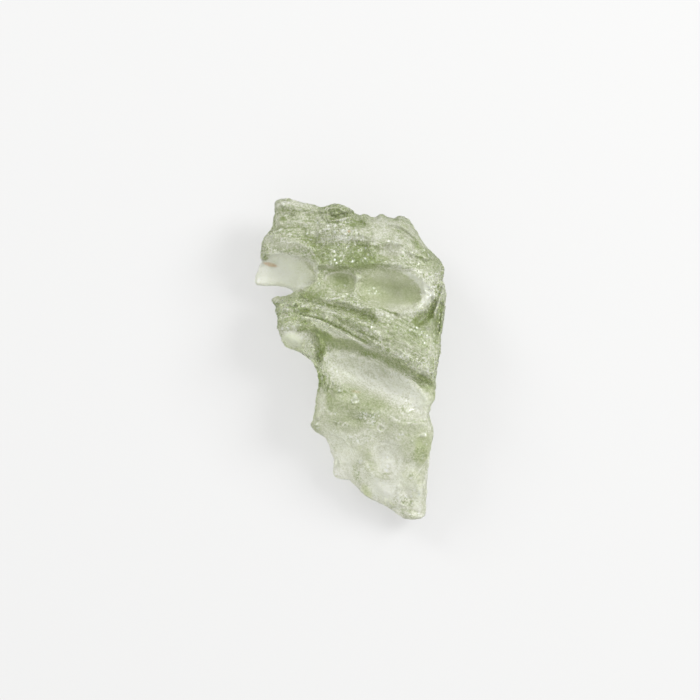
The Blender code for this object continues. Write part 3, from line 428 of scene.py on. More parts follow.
def skin(u, v, t):
    """Etched skin: pits, hatching and flow lines, mm; t is not used."""
    k = smooth_field(u, v)
    warp = 2.0 * noise(u / 26, v / 26, 1.5, 3) + 0.8 * noise(u / 9, v / 9, 1.5, 4)
    lines = 0.0
    for i, (cu, cv, ru, rv, deg, way, gap, high) in enumerate(FLOW):
        a = smooth((1.35 - oval(u, v, cu, cv, ru, rv, deg)) / 0.6)
        c, s = math.cos(math.radians(way)), math.sin(math.radians(way))
        run, across = u * c + v * s, -u * s + v * c + warp
        n = noise(run / (gap * 8), across / gap, 0.7, 300 + i)
        lines = lines + high * a * (0.55 - 1.6 * np.abs(n))
    lumps = fractal(u / 15, v / 15, 2.2, 21, 4)
    mid = noise(u / 4.6, v / 4.6, 3.1, 22)
    d1, d2 = cells((u + warp) / 6.5, v / 6.5, 9)
    pits = -np.clip(0.42 - d1, 0, None) * 0.9
    return (1 - 0.85 * k) * (0.085 * lumps + 0.03 * mid + 0.18 * pits) + 0.75 * (1 - 0.6 * k) * lines + 0.015 * lumps


def smooth_field(u, v):
    """1 where the glass is smooth (scoop floors, hollows, trough), 0 where the etching is rough."""
    k = np.clip(1.25 - oval(u, v, 391, 291, 34, 22, 7) ** 4, 0, 1)
    k = np.maximum(k, np.clip(1.2 - oval(u, v, 341, 281, 17, 11, 12) ** 4, 0, 1))
    k = np.maximum(k, 0.55 * smooth((v - 380) / 20) + 0.2 * smooth((v - 425) / 20))
    k = np.maximum(k, 0.95 * smooth((1.5 - oval(u, v, 385, 459, 19, 20, 0)) / 0.7))
    k = np.maximum(k, 0.8 * np.clip(1.3 - oval(u, v, 378, 382, 56, 24, 22) ** 4, 0, 1))
    k = np.maximum(k, 0.8 * np.clip(1.3 - oval(u, v, 345, 345, 26, 7, 12) ** 4, 0, 1))
    k = np.maximum(k, 0.7 * np.clip(1.2 - oval(u, v, 389, 254, 13, 9, -12) ** 4, 0, 1))
    k = np.maximum(k, 0.7 * np.clip(1.2 - oval(u, v, 345, 460, 22, 26, 30) ** 4, 0, 1))
    k = np.maximum(k, 0.8 * np.clip(1.2 - oval(u, v, 294, 339, 13, 9, 25) ** 4, 0, 1))
    k = np.maximum(k, 0.55 * np.clip(1.3 - oval(u, v, 393, 237, 22, 16, 15) ** 4, 0, 1))
    k = np.maximum(k, np.where(inside(u, v, FLAP_EDGE), 0.85, 0.0))
    return k


def bottom(u, v):
    """Height of the underside, mm: fluted, touching the table in a few flat worn patches."""
    z = BOTTOM_PLATE(u, v) + 0.2
    warp = 5.0 * noise(u / 40, v / 40, 9.0, 51)
    z = z + 0.34 * noise((u + v * 0.4) / 60, (v - u * 0.35 + warp) / 15, 4.0, 52)
    z = z + 0.20 * noise(u / 11, v / 11, 5.0, 53)
    for cu, cv, ru, rv, deg, deep in ((330, 235, 17, 11, 20, 0.6), (408, 262, 13, 19, 0, 0.6),
                                      (338, 312, 12, 9, 0, 0.45), (418, 352, 11, 17, 10, 0.5),
                                      (342, 385, 10, 14, 0, 0.45), (408, 447, 14, 10, 0, 0.5),
                                      (295, 320, 13, 10, 0, 0.5), (372, 466, 9, 9, 0, 0.45),
                                      (372, 306, 17, 8, 25, 0.5), (396, 318, 8, 6, 0, 0.4),
                                      (383, 369, 13, 8, -20, 0.5), (362, 268, 14, 8, 10, 0.45),
                                      (372, 420, 9, 12, 30, 0.4)):
        z = z - scoop(u, v, cu, cv, ru, rv, deg, deep, 0.06)
    z = z + ridge(u, v, [(330, 345), (350, 352), (375, 356), (402, 350)], 0.45, 3.5)
    return z


def rim_height(u, v):
    """Where the rim runs between the underside (0) and the upper side (1)."""
    return 0.42 + 0.12 * noise(u / 30, v / 30, 7.0, 61) + 0.08 * noise(u / 11, v / 11, 7.4, 62)


def rim_widths(u, v):
    """How far in from the rim the upper side and the underside are rounded (sketch units), and how squarely."""
    right = smooth((u - 405) / 18) * smooth((v - 268) / 15)
    flap = np.maximum(smooth((324 - u) / 12) * smooth((v - 256) / 4) * smooth((292 - v) / 4),
                      smooth((v - 432) / 10) * smooth((372 - u + 0.5 * (v - 470)) / 16))
    rough = noise(u / 9, v / 9, 8.0, 71)
    wt = (7.0 - 4.2 * right - 4.6 * flap) * (1 + 0.3 * rough)
    wb = (13.0 + 4.0 * right - 9.0 * flap) * (1 + 0.3 * noise(u / 14, v / 14, 8.5, 72))
    pt = 1.75 - 0.35 * right + 0.3 * noise(u / 22, v / 22, 8.7, 73)
    pb = 1.45 + 0.3 * noise(u / 24, v / 24, 8.9, 74)
    return wt, wb, pt, pb


def rim_curve(d, width, square):
    """0 on the rim to 1 at the full width; square 1 is a plain bevel, 2 a quarter round."""
    return np.clip(1 - (1 - np.clip(d / width, 0, 1)) ** square, 0, 1) ** (1 / square)


# ---- tone of the glass -----------------------------------------------------
# 0 is the deep green of a furrow, 1 the pale frosted grey-green of a crest; the tones hold both the glass's own colour
# and painted light and shade of the relief, paler where light falls on it or shines through it and darker where it is
# in shade.
# Patches: (u, v, half length, half width, turn in degrees, tone, strength, softness)
PATCHES = [
    # upper left block
    (284, 204, 9, 5, 10, 0.62, 0.9, 0.5), (303, 206, 15, 4, 14, 0.72, 0.9, 0.4),
    (287, 215, 10, 6, 10, 0.30, 0.9, 0.5), (283.3, 220, 3.4, 2.4, 10, -0.25, 1.0, 0.3),
    (294, 215, 3, 6, 0, 0.12, 0.7, 0.5), (316, 219, 15, 8, 5, 0.42, 0.8, 0.5),
    (284, 240, 15, 8, 5, 0.57, 0.9, 0.5), (265, 248, 3, 10, 8, 0.38, 0.9, 0.5),
    (292, 250, 10, 4, 12, 0.30, 0.8, 0.5), (311, 226, 9, 5, 0, 0.34, 0.7, 0.5),
    (262, 257, 4, 3, 0, 0.25, 0.8, 0.5), (292, 224, 28, 12, 8, 0.46, 0.35, 0.9),
    # crest of the upper edge
    (336, 209, 16, 4, 4, 0.28, 0.9, 0.4), (332, 215.5, 7, 2.4, 4, 0.62, 0.9, 0.5),
    (341, 218, 9, 2.0, 0, 0.06, 1.0, 0.5), (359, 224.5, 8, 5, 10, 0.08, 1.0, 0.4),
    (345, 225, 7, 4, 0, 0.36, 0.8, 0.5), (364, 217.5, 6, 2.5, 5, 0.45, 0.8, 0.5),
    # bright mottled band and the dark pitted slope under it; the slope's darkness is deep green glass and painted shade
    # where it faces away from the light
    (347, 235, 30, 6.5, 2, 0.70, 1.0, 0.5), (362, 240, 14, 6, 5, 0.42, 0.8, 0.5),
    (374, 231, 11, 8, 4, 0.56, 0.95, 0.5), (369, 247, 13, 3.6, -6, 0.32, 0.8, 0.6), (376, 244, 11, 8, 0, 0.36, 0.75, 0.9),
    (378, 263, 12, 4.5, 5, 0.20, 0.8, 0.7),
    (311, 235, 12, 6, 0, 0.32, 0.7, 0.6),
    (318, 251, 16, 8, 32, -0.06, 1.0, 0.5), (324, 262, 10, 8, 0, -0.04, 1.0, 0.4),
    (359, 257, 22, 10, 4, -0.15, 1.0, 0.8), (345, 249, 20, 6, 0, 0.24, 0.8, 0.6),
    (385, 234, 16, 12, 6, 0.58, 0.9, 0.5), (381, 225, 9, 4, 8, 0.55, 0.7, 0.5),
    (405, 226, 7, 6, 40, 0.50, 0.8, 0.5), (404, 246, 9, 7, 10, 0.60, 0.8, 0.5),
    (416, 245, 7.5, 3.2, 52, 0.08, 1.0, 0.4), (427, 251, 7, 3, 48, 0.45, 0.8, 0.5),
    (391, 252.5, 13, 5.5, -8, 0.67, 0.95, 0.35), (389, 262, 13, 5, 4, 0.36, 0.9, 0.5),
    (411, 260, 11, 4.5, -10, 0.60, 0.9, 0.5), (411, 267, 9, 3, 3, 0.20, 0.9, 0.5),
    (432, 268, 12, 12, 20, 0.44, 0.8, 0.5), (442, 274.5, 1.6, 6, 3, 0.0, 1.0, 0.5),
    (347, 269, 14, 3, 2, 0.10, 0.9, 0.5),
    # scoops: deep green glass, darker still under the brow as painted shade
    (341, 280, 16, 9, 10, 0.26, 1.0, 0.35), (328, 278, 3, 6, 15, 0.68, 0.9, 0.4),
    (338, 291, 15, 6, 6, 0.58, 0.9, 0.5), (392, 288, 32, 17, 7, 0.38, 1.0, 0.3),
    (382, 294, 20, 8, 6, 0.50, 0.8, 0.6), (409, 293, 10, 9, 5, 0.20, 0.95, 0.5),
    (395, 305, 22, 4.5, 3, 0.62, 0.9, 0.4), (357, 285, 4, 10, 5, 0.45, 0.7, 0.5),
    (380, 272.5, 22, 2.4, 0, 0.50, 0.8, 0.5),
    # pale crescent at the right end of the large scoop: painted light shining through the glass
    (415, 283, 9, 3.5, 38, 0.86, 1.0, 0.4), (426, 293, 7, 8, 25, 0.90, 1.0, 0.35),
    (424, 304, 8, 5, -35, 0.82, 1.0, 0.4), (436, 287, 6, 6, 0, 0.48, 0.9, 0.5),
    # shelf under the scoops
    (345, 301, 31, 6, 10, 0.58, 0.9, 0.4), (388, 312, 14, 5, 18, 0.55, 0.8, 0.5),
    (405, 315, 12, 6, 10, 0.52, 0.8, 0.5), (320, 291, 8, 5, 0, 0.50, 0.9, 0.5),
    # right shoulder
    (424, 319, 12, 6.5, -25, 0.02, 1.0, 0.4), (439.5, 322, 4, 17, 4, 0.10, 1.0, 0.4),
    (434, 306, 4, 7, 30, 0.12, 0.9, 0.5), (424, 334, 14, 8, 25, 0.36, 0.9, 0.5),
    (437, 343, 5, 8, 5, 0.40, 0.8, 0.5),
    # ridge bundle
    (345, 320, 34, 10, 26, 0.46, 0.9, 0.4), (386, 322, 10, 9, 20, 0.52, 0.9, 0.5),
    (403, 332, 10, 14, 10, 0.41, 0.8, 0.5), (392, 345, 14, 8, 25, 0.45, 0.9, 0.5),
    (418, 355, 18, 9, 25, 0.38, 0.9, 0.5), (404, 356, 6, 4, 10, 0.70, 0.9, 0.5),
    (337, 333, 27, 5.2, 24, 0.68, 1.0, 0.3),
    # beak
    (291, 308, 13, 10, 10, 0.44, 0.9, 0.4), (278.5, 318, 2.5, 12, -4, 0.25, 0.9, 0.5),
    (291, 321, 11, 5, 5, 0.50, 0.9, 0.5), (309, 326, 9, 8, 20, 0.22, 0.95, 0.4),
    (306, 297, 7, 3, 25, 0.12, 0.95, 0.5), (306, 312, 8, 2.6, 3, 0.12, 0.95, 0.4),
    (318, 312, 9, 5, 15, 0.45, 0.7, 0.5), (276, 300, 4, 4, 0, 0.50, 1.0, 0.5),
    (293, 339, 11, 8.5, 28, 0.87, 1.0, 0.35), (309, 349, 7, 8, 30, 0.60, 0.9, 0.4),
    # furrow: deep green glass, darkened further as painted shade under the step
    (324, 335, 11, 6, 40, 0.02, 1.0, 0.4), (347, 344, 18, 5.4, 8, 0.02, 1.0, 0.35),
    (319.5, 351, 4, 8, 5, 0.06, 1.0, 0.4), (373, 353.5, 12, 4.2, 20, 0.12, 1.0, 0.4),
    (398, 364.5, 15, 5, 27, 0.10, 1.0, 0.4), (422, 379, 14, 5.5, 28, 0.10, 1.0, 0.4),
    (430, 393, 6, 10, 10, 0.24, 0.9, 0.5),
    # trough
    (365, 374, 40, 16, 16, 0.76, 1.0, 0.3), (404, 396, 28, 13, 24, 0.86, 1.0, 0.35),
    (362, 363, 14, 6, 15, 0.66, 0.7, 0.6), (347, 373, 12, 6, 20, 0.86, 0.8, 0.6),
    (389, 374, 7, 5, 20, 0.86, 0.8, 0.5), (418, 401, 8, 7, 10, 0.84, 0.7, 0.6),
    # left edge of the waist
    (321, 362, 3, 8, 5, 0.40, 0.9, 0.5), (328, 356, 4, 4, 0, 0.78, 0.9, 0.5),
    (322, 382, 4, 7, 8, 0.10, 1.0, 0.4), (322, 400, 4, 12, 5, 0.56, 1.0, 0.4),
    (329.5, 401, 2.6, 10, 2, 0.18, 0.9, 0.4), (316, 416, 4, 12, 12, 0.36, 0.9, 0.4),
    (315, 428, 5, 3, 15, 0.12, 0.9, 0.4), (324, 427, 5, 4, 20, 0.62, 0.9, 0.5),
    # olive band
    (350, 393, 20, 6, 14, 0.36, 1.0, 0.45), (370, 403, 14, 6, 16, 0.36, 0.9, 0.5),
    (344, 409, 14, 7, 5, 0.42, 0.9, 0.5), (355, 421, 12, 7, 5, 0.17, 1.0, 0.4),
    (340, 423, 9, 6, 10, 0.26, 1.0, 0.5), (355, 400, 4.5, 4, 0, 0.86, 1.0, 0.5),
    (371, 417, 13, 6, 15, 0.50, 0.9, 0.5), (397, 411, 14, 4, 22, 0.58, 0.8, 0.5),
    (398, 428, 20, 6.5, 5, 0.44, 1.0, 0.4), (380, 433, 14, 6, 5, 0.36, 0.8, 0.5),
    (423, 442, 9, 15, 5, 0.28, 1.0, 0.35), (419, 457, 10, 8, -35, 0.24, 1.0, 0.35),
    (423, 434.5, 4.5, 2.6, 0, 0.84, 1.0, 0.4), (425, 420, 7, 7, 0, 0.50, 0.7, 0.5),
    (359, 438, 13, 5, -5, 0.66, 0.9, 0.5), (396, 436, 6, 4, 0, 0.64, 0.7, 0.5),
    # round hollow: pale middle and lower right as painted light, darker upper left as painted shade
    (365, 452, 8, 14, 15, 0.46, 1.0, 0.4), (386.5, 459, 17, 19, 0, 0.74, 1.0, 0.35),
    (388, 463, 8, 11, 5, 0.95, 0.9, 0.6), (406, 452, 8, 14, 5, 0.42, 0.9, 0.5),
    (384, 477, 9, 2.4, 4, 0.38, 1.0, 0.4), (407, 473, 8, 8, -40, 0.55, 0.8, 0.5),
    # split face, thin flap, tip
    (420.5, 474, 5.5, 12, 12, 0.78, 1.0, 0.25), (341, 457, 15, 26, -15, 0.76, 1.0, 0.3),
    (341, 445, 9, 7, 20, 0.66, 0.8, 0.5), (350, 471, 6, 9, -10, 0.62, 0.6, 0.5),
    (357, 475, 3.4, 10, -18, 0.42, 0.9, 0.5), (367, 492, 8, 3, 55, 0.26, 1.0, 0.4),
    (366, 470, 6, 10, -30, 0.64, 0.9, 0.5), (381, 490, 13, 9, 22, 0.94, 1.0, 0.35),
    (396, 495, 5, 9, 5, 0.84, 0.9, 0.5), (405, 490, 6, 6, 0, 0.66, 0.9, 0.5),
    (407, 502.5, 7, 3.6, 25, 0.50, 0.9, 0.5), (417, 496, 5, 9, 5, 0.86, 1.0, 0.4),
    (405, 512, 12, 4, 12, 0.74, 0.9, 0.4), (411, 519.5, 8, 2.2, 2, 0.45, 1.0, 0.4),
    (425, 500, 2.4, 14, 3, 0.55, 0.9, 0.5),
]
# Patches with a clear edge: (tone, strength, softness of the edge, outline)
SHAPES = [
    # top block
    (-0.20, 0.95, 1.5, [(280.5, 219), (283, 217), (286, 218), (287, 220.5), (285, 222.5), (282, 222)]),
    (0.24, 0.8, 3.0, [(284, 209.5), (290, 209), (296, 210.5), (297, 215.5), (293, 218.5), (287, 217.5), (283, 214.5)]),
    (0.10, 0.9, 1.6, [(357, 222), (361, 220.5), (364.5, 222), (366, 226), (364, 229.5), (358, 229), (351, 228.5),
                      (353, 225), (356, 224)]),
    (0.12, 0.9, 1.8, [(411, 242), (417, 242), (419.5, 245.5), (420, 250), (417.5, 249), (414, 245.5)]),
    (0.60, 0.85, 1.6, [(381, 251), (385, 248.8), (391, 248), (399, 246.5), (403, 250), (402, 255), (396, 257),
                       (388, 258), (381, 256.5), (378, 254)]),
    (0.52, 0.8, 1.8, [(404, 260), (409, 258), (416, 257.5), (420, 260), (418, 263), (410, 263), (405, 263)]),
    (0.42, 0.75, 2.2, [(423, 262), (430, 260.5), (438, 261), (441, 266), (441, 271), (432, 273), (424, 271),
                       (421, 267)]),
    # dark pitted slope: deep green glass with painted shade
    (-0.14, 0.85, 7.0, [(352, 258), (358, 256), (368, 257), (374, 262), (376, 268), (370, 269.6), (360, 270),
                       (354, 267), (350, 262)]),
    (0.02, 0.9, 1.2, [(318, 271), (325, 270), (332, 270), (341, 270.3), (341, 271.8), (334, 272.3), (328, 273.8),
                      (325, 276.5), (322, 275)]),
    (0.14, 0.9, 1.3, [(351, 271.8), (355, 272), (357.5, 274.5), (356, 276.5), (352, 274.5)]),
    # the block over the flap, its arch and the wedge under the arch
    (0.38, 0.6, 3.0, [(263, 244), (272, 236), (290, 237), (303, 240), (303, 246), (296, 249), (284, 249), (270, 251),
                      (264, 252)]),
    (0.10, 0.85, 1.6, [(262, 254), (265, 254), (268, 258), (266, 260.5), (262, 259)]),
    (0.20, 0.8, 2.2, [(285, 251), (291, 250), (300, 250.5), (308, 254), (306, 257), (298, 255.5), (290, 254)]),
    (0.30, 0.9, 1.8, [(292, 258.5), (300, 259.8), (308, 262), (313, 266), (313, 272), (309, 268), (303, 264.5),
                      (297, 262)]),
    (0.16, 0.8, 2.5, [(317.5, 256), (321, 254), (326, 258), (328, 266), (326, 274), (322, 280), (318.5, 278),
                      (318, 266)]),
    # small scoop: deep green glass, its upper left darker as painted shade under the brow
    (0.33, 0.9, 1.6, [(326, 282), (327, 278), (330, 275.2), (335, 273.6), (341, 273), (348, 274.3), (353, 276.5),
                      (356, 280), (356.5, 286), (354, 292), (349, 295.5), (342, 294.5), (335, 291.5), (330, 288),
                      (327, 285.5)]),
    (0.04, 0.9, 2.2, [(334, 276.8), (341, 276.2), (347, 278), (350, 281.5), (347, 284.5), (342, 284), (336, 281)]),
    (0.52, 0.8, 2.2, [(340, 291), (347, 292), (351, 295.5), (348, 298), (341, 295.5)]),
    (0.50, 0.85, 1.6, [(354, 277), (358.5, 277), (358, 284), (357, 292), (355, 293.5), (354.5, 286)]),
    # large scoop: deep green glass, darker under the brow as painted shade
    (0.34, 0.95, 1.5, [(360, 281), (363, 277), (368, 273.5), (374, 271.5), (384, 270.8), (394, 271.3), (402, 273.8),
                       (408, 277.3), (413, 281), (417, 285.2), (420, 290), (421.5, 296), (420.5, 302), (417, 306),
                       (409, 309), (400, 310), (390, 308.5), (380, 305.5), (370, 302), (362, 297), (358.5, 290)]),
    (0.46, 0.8, 2.0, [(366, 274.5), (376, 272), (388, 271.6), (398, 273), (405, 277.5), (403, 280), (394, 278),
                      (382, 277), (371, 277.5)]),
    (0.20, 0.75, 5.0, [(361, 282), (367, 278), (378, 278.5), (390, 278.8), (399, 281), (408, 285.5), (414, 289),
                       (408, 294), (399, 290), (386, 286.5), (374, 286.5), (367, 290), (361, 291)]),
    (0.10, 0.85, 4.5, [(405, 286.5), (413, 286.3), (417, 288.6), (419.5, 293), (420, 298), (417, 302), (410, 303),
                      (404, 300.5), (403, 295), (405, 290.5)]),
    (0.60, 0.8, 2.4, [(383, 303.5), (392, 303.8), (402, 305), (412, 305), (419, 302.5), (418, 307), (409, 310),
                      (398, 310.5), (388, 308)]),
    # painted light: the bright crescent on the right wall of the large scoop, light shining through the glass
    (1.00, 1.0, 1.6, [(401, 272.2), (408, 272.8), (414, 276.5), (420, 280.8), (427, 285.5), (432.5, 290.5),
                      (435, 296), (433, 301.5), (429, 304.5), (422.5, 304.5), (422, 298), (421.2, 292), (418.3, 286),
                      (413.5, 281), (408.5, 277.2), (403, 274.6)]),
    (0.62, 0.9, 2.0, [(421, 304.5), (429, 304.5), (427, 308.5), (421, 311.5), (414, 312), (418, 308.5)]),
    # deep green under the shelf
    (0.08, 1.0, 1.5, [(326, 304), (335, 304), (341, 306), (350, 308), (360, 310.2), (370, 311.7), (374, 314),
                      (377, 319), (380.5, 325), (380, 329), (377, 326), (374, 322), (369, 320.5), (360, 320.3),
                      (357, 316), (350, 314.5), (345, 311.7), (338, 311.3), (334, 308.3), (327, 307)]),
    # right shoulder
    (0.00, 0.95, 2.0, [(411, 321), (416, 317), (422, 314.5), (427, 311), (430, 309.5), (433.5, 306.5), (437.5, 301),
                       (437, 305), (434.5, 311), (432.5, 317), (430.5, 321), (428, 325.5), (420, 325.5),
                       (413, 325.5)]),
    (0.18, 0.85, 1.8, [(439, 306), (442, 301), (443.8, 306), (443, 318), (441.5, 330), (438, 334), (434.5, 330),
                       (434, 321), (436.5, 313)]),
    # rib bundle
    (0.52, 0.85, 2.0, [(317, 306), (326, 309.5), (336, 312), (348, 316), (357, 319), (361, 322), (372, 322.5),
                       (379, 329), (385, 337), (386, 344), (380, 345), (372, 344), (362, 338.5), (350, 332.3),
                       (340, 327), (330, 322.5), (320, 318), (313, 315.5), (313, 308)]),
    # long pale blade
    (0.64, 0.95, 1.3, [(303, 317), (312, 317.5), (320, 320.3), (330, 325.3), (340, 329.8), (350, 335.2), (360, 341.2),
                       (370, 346.5), (372, 350), (366, 349), (360, 345), (354, 340.5), (345, 338.3), (336, 337.3),
                       (330, 334), (323, 330), (317, 327), (312, 322.5), (306, 320.5)]),
    # beak
    (0.00, 0.9, 1.6, [(301, 293.5), (305, 294), (311, 298), (314, 301.5), (310, 302), (305, 299), (302, 296.5)]),
    (0.06, 0.9, 1.4, [(300, 310), (306, 309.6), (312, 311), (312, 315.8), (306, 315.2), (300, 314.5)]),
    (0.10, 0.85, 1.5, [(289, 304.5), (293, 306.5), (297, 309), (294, 310), (290, 307.5)]),
    (0.14, 0.85, 1.5, [(299, 320), (305, 320), (311, 321), (312, 325.5), (307, 326), (301, 323)]),
    (0.16, 0.9, 1.2, [(276.5, 306), (279, 306), (279, 311.5), (277, 312)]),
    (0.16, 0.9, 1.2, [(277.6, 320), (280, 320), (280.5, 326), (278, 326.5)]),
    # furrow: deep green glass, darkened further as painted shade under the step
    (0.02, 0.95, 2.4, [(309, 327), (319, 329.2), (325, 332), (331, 336.5), (337, 339), (347, 339.6), (355, 341),
                       (361, 346.3), (366, 350.3), (372, 352), (380, 353.2), (382, 357), (378, 359), (370, 357),
                       (362, 355), (357, 350.5), (348, 350), (338, 349.8), (332, 347.5), (327, 345), (324.5, 350),
                       (322.5, 357), (318, 356.5), (316, 351), (319, 345), (317, 338), (311, 333)]),
    (-0.22, 0.8, 3.0, [(319, 331), (325, 332.5), (331, 337), (327, 341.5), (321, 338)]),
    (0.22, 0.9, 3.2, [(380, 354), (387, 356.5), (393, 358), (399, 362), (404, 365), (409, 369), (406, 372.5),
                      (397, 370), (389, 367), (383, 362)]),
    (0.10, 0.9, 2.6, [(411, 370.5), (416, 370.5), (421, 375), (427, 378.8), (434.5, 384), (434.5, 388.5),
                      (428, 389.5), (420, 387), (413, 381)]),
    (0.43, 0.75, 3.0, [(391, 341), (399, 342), (406, 346), (412, 352), (408, 356), (398, 352), (388, 350.5),
                       (384, 346)]),
    # trough
    (0.70, 0.85, 3.0, [(331, 354), (341, 352.5), (352, 352.5), (362, 357.5), (372, 361), (382, 366), (393, 372),
                       (403, 378), (410, 385), (412, 393), (405, 399), (392, 397), (376, 391), (360, 386),
                       (345, 380), (334, 372)]),
    (0.86, 0.7, 4.0, [(340, 369), (352, 370), (364, 375), (377, 379), (390, 377), (400, 383), (404, 392), (394, 396),
                      (378, 390), (360, 384), (346, 378)]),
    # left edge of the waist
    (0.20, 0.8, 1.8, [(327, 393), (331, 393), (331.5, 402), (330.5, 410), (328, 410), (327, 400)]),
    (0.58, 0.85, 1.6, [(320.5, 386), (325.5, 387), (326, 400), (325.5, 410), (320, 411), (319.5, 398)]),
    (0.12, 0.85, 1.4, [(320, 381), (324.5, 378), (326.5, 383), (325.5, 389), (321, 388)]),
    # olive band
    (0.42, 0.8, 5.5, [(336, 389), (342, 386), (352, 389), (364, 394), (378, 399), (390, 405), (389, 410),
                       (376, 408), (364, 410), (354, 408), (342, 411), (334, 410)]),
    (0.30, 0.85, 3.0, [(326, 418), (336, 417), (348, 416), (358, 420), (364, 427), (358, 433), (346, 432),
                       (334, 428)]),
    (0.46, 0.8, 2.4, [(390, 422), (402, 424), (412, 427), (413, 436), (404, 440), (392, 439), (388, 432)]),
    (0.24, 0.85, 2.8, [(417, 437), (424, 438), (431, 437), (431, 447), (428, 457), (420, 463), (414, 459),
                      (415, 449)]),
    # round hollow, bulge and tip; the hollow's pale middle is painted light
    (0.42, 0.8, 3.0, [(350, 442), (358, 444), (366, 443), (371, 449), (372, 458), (366, 460), (358, 452),
                      (351, 448)]),
    (0.68, 0.85, 3.2, [(374, 446), (383, 443), (393, 444), (400, 450), (402, 460), (399, 470), (391, 475),
                       (382, 474), (375, 466), (372, 456)]),
    (0.90, 0.7, 4.0, [(382, 452), (388, 450), (393, 456), (393, 466), (389, 473), (384, 470), (381, 461)]),
    (0.72, 0.8, 2.0, [(330, 436), (338, 434.5), (346, 439), (351, 446), (353, 458), (353, 470), (351, 480),
                      (338, 479), (333, 470), (332, 456), (330, 446)]),
    (0.42, 0.7, 1.8, [(354, 466), (357, 469), (359, 475), (359, 483), (356, 483), (355.5, 476)]),
    (0.92, 0.8, 2.4, [(371, 482), (382, 481), (390, 483), (391, 492), (386, 499), (376, 496), (370, 489)]),
    (0.74, 0.8, 1.6, [(429, 458), (428.5, 470), (427.5, 482), (424, 486), (417, 484), (411, 480), (414, 474),
                      (421, 467)]),
    (0.55, 0.7, 2.4, [(402, 498), (408, 499), (413, 504), (414, 508), (407, 507.5), (402, 504)]),
    (0.42, 0.8, 1.6, [(423, 487), (427, 487), (426.5, 500), (425, 516), (421.5, 516), (422, 500)]),
]
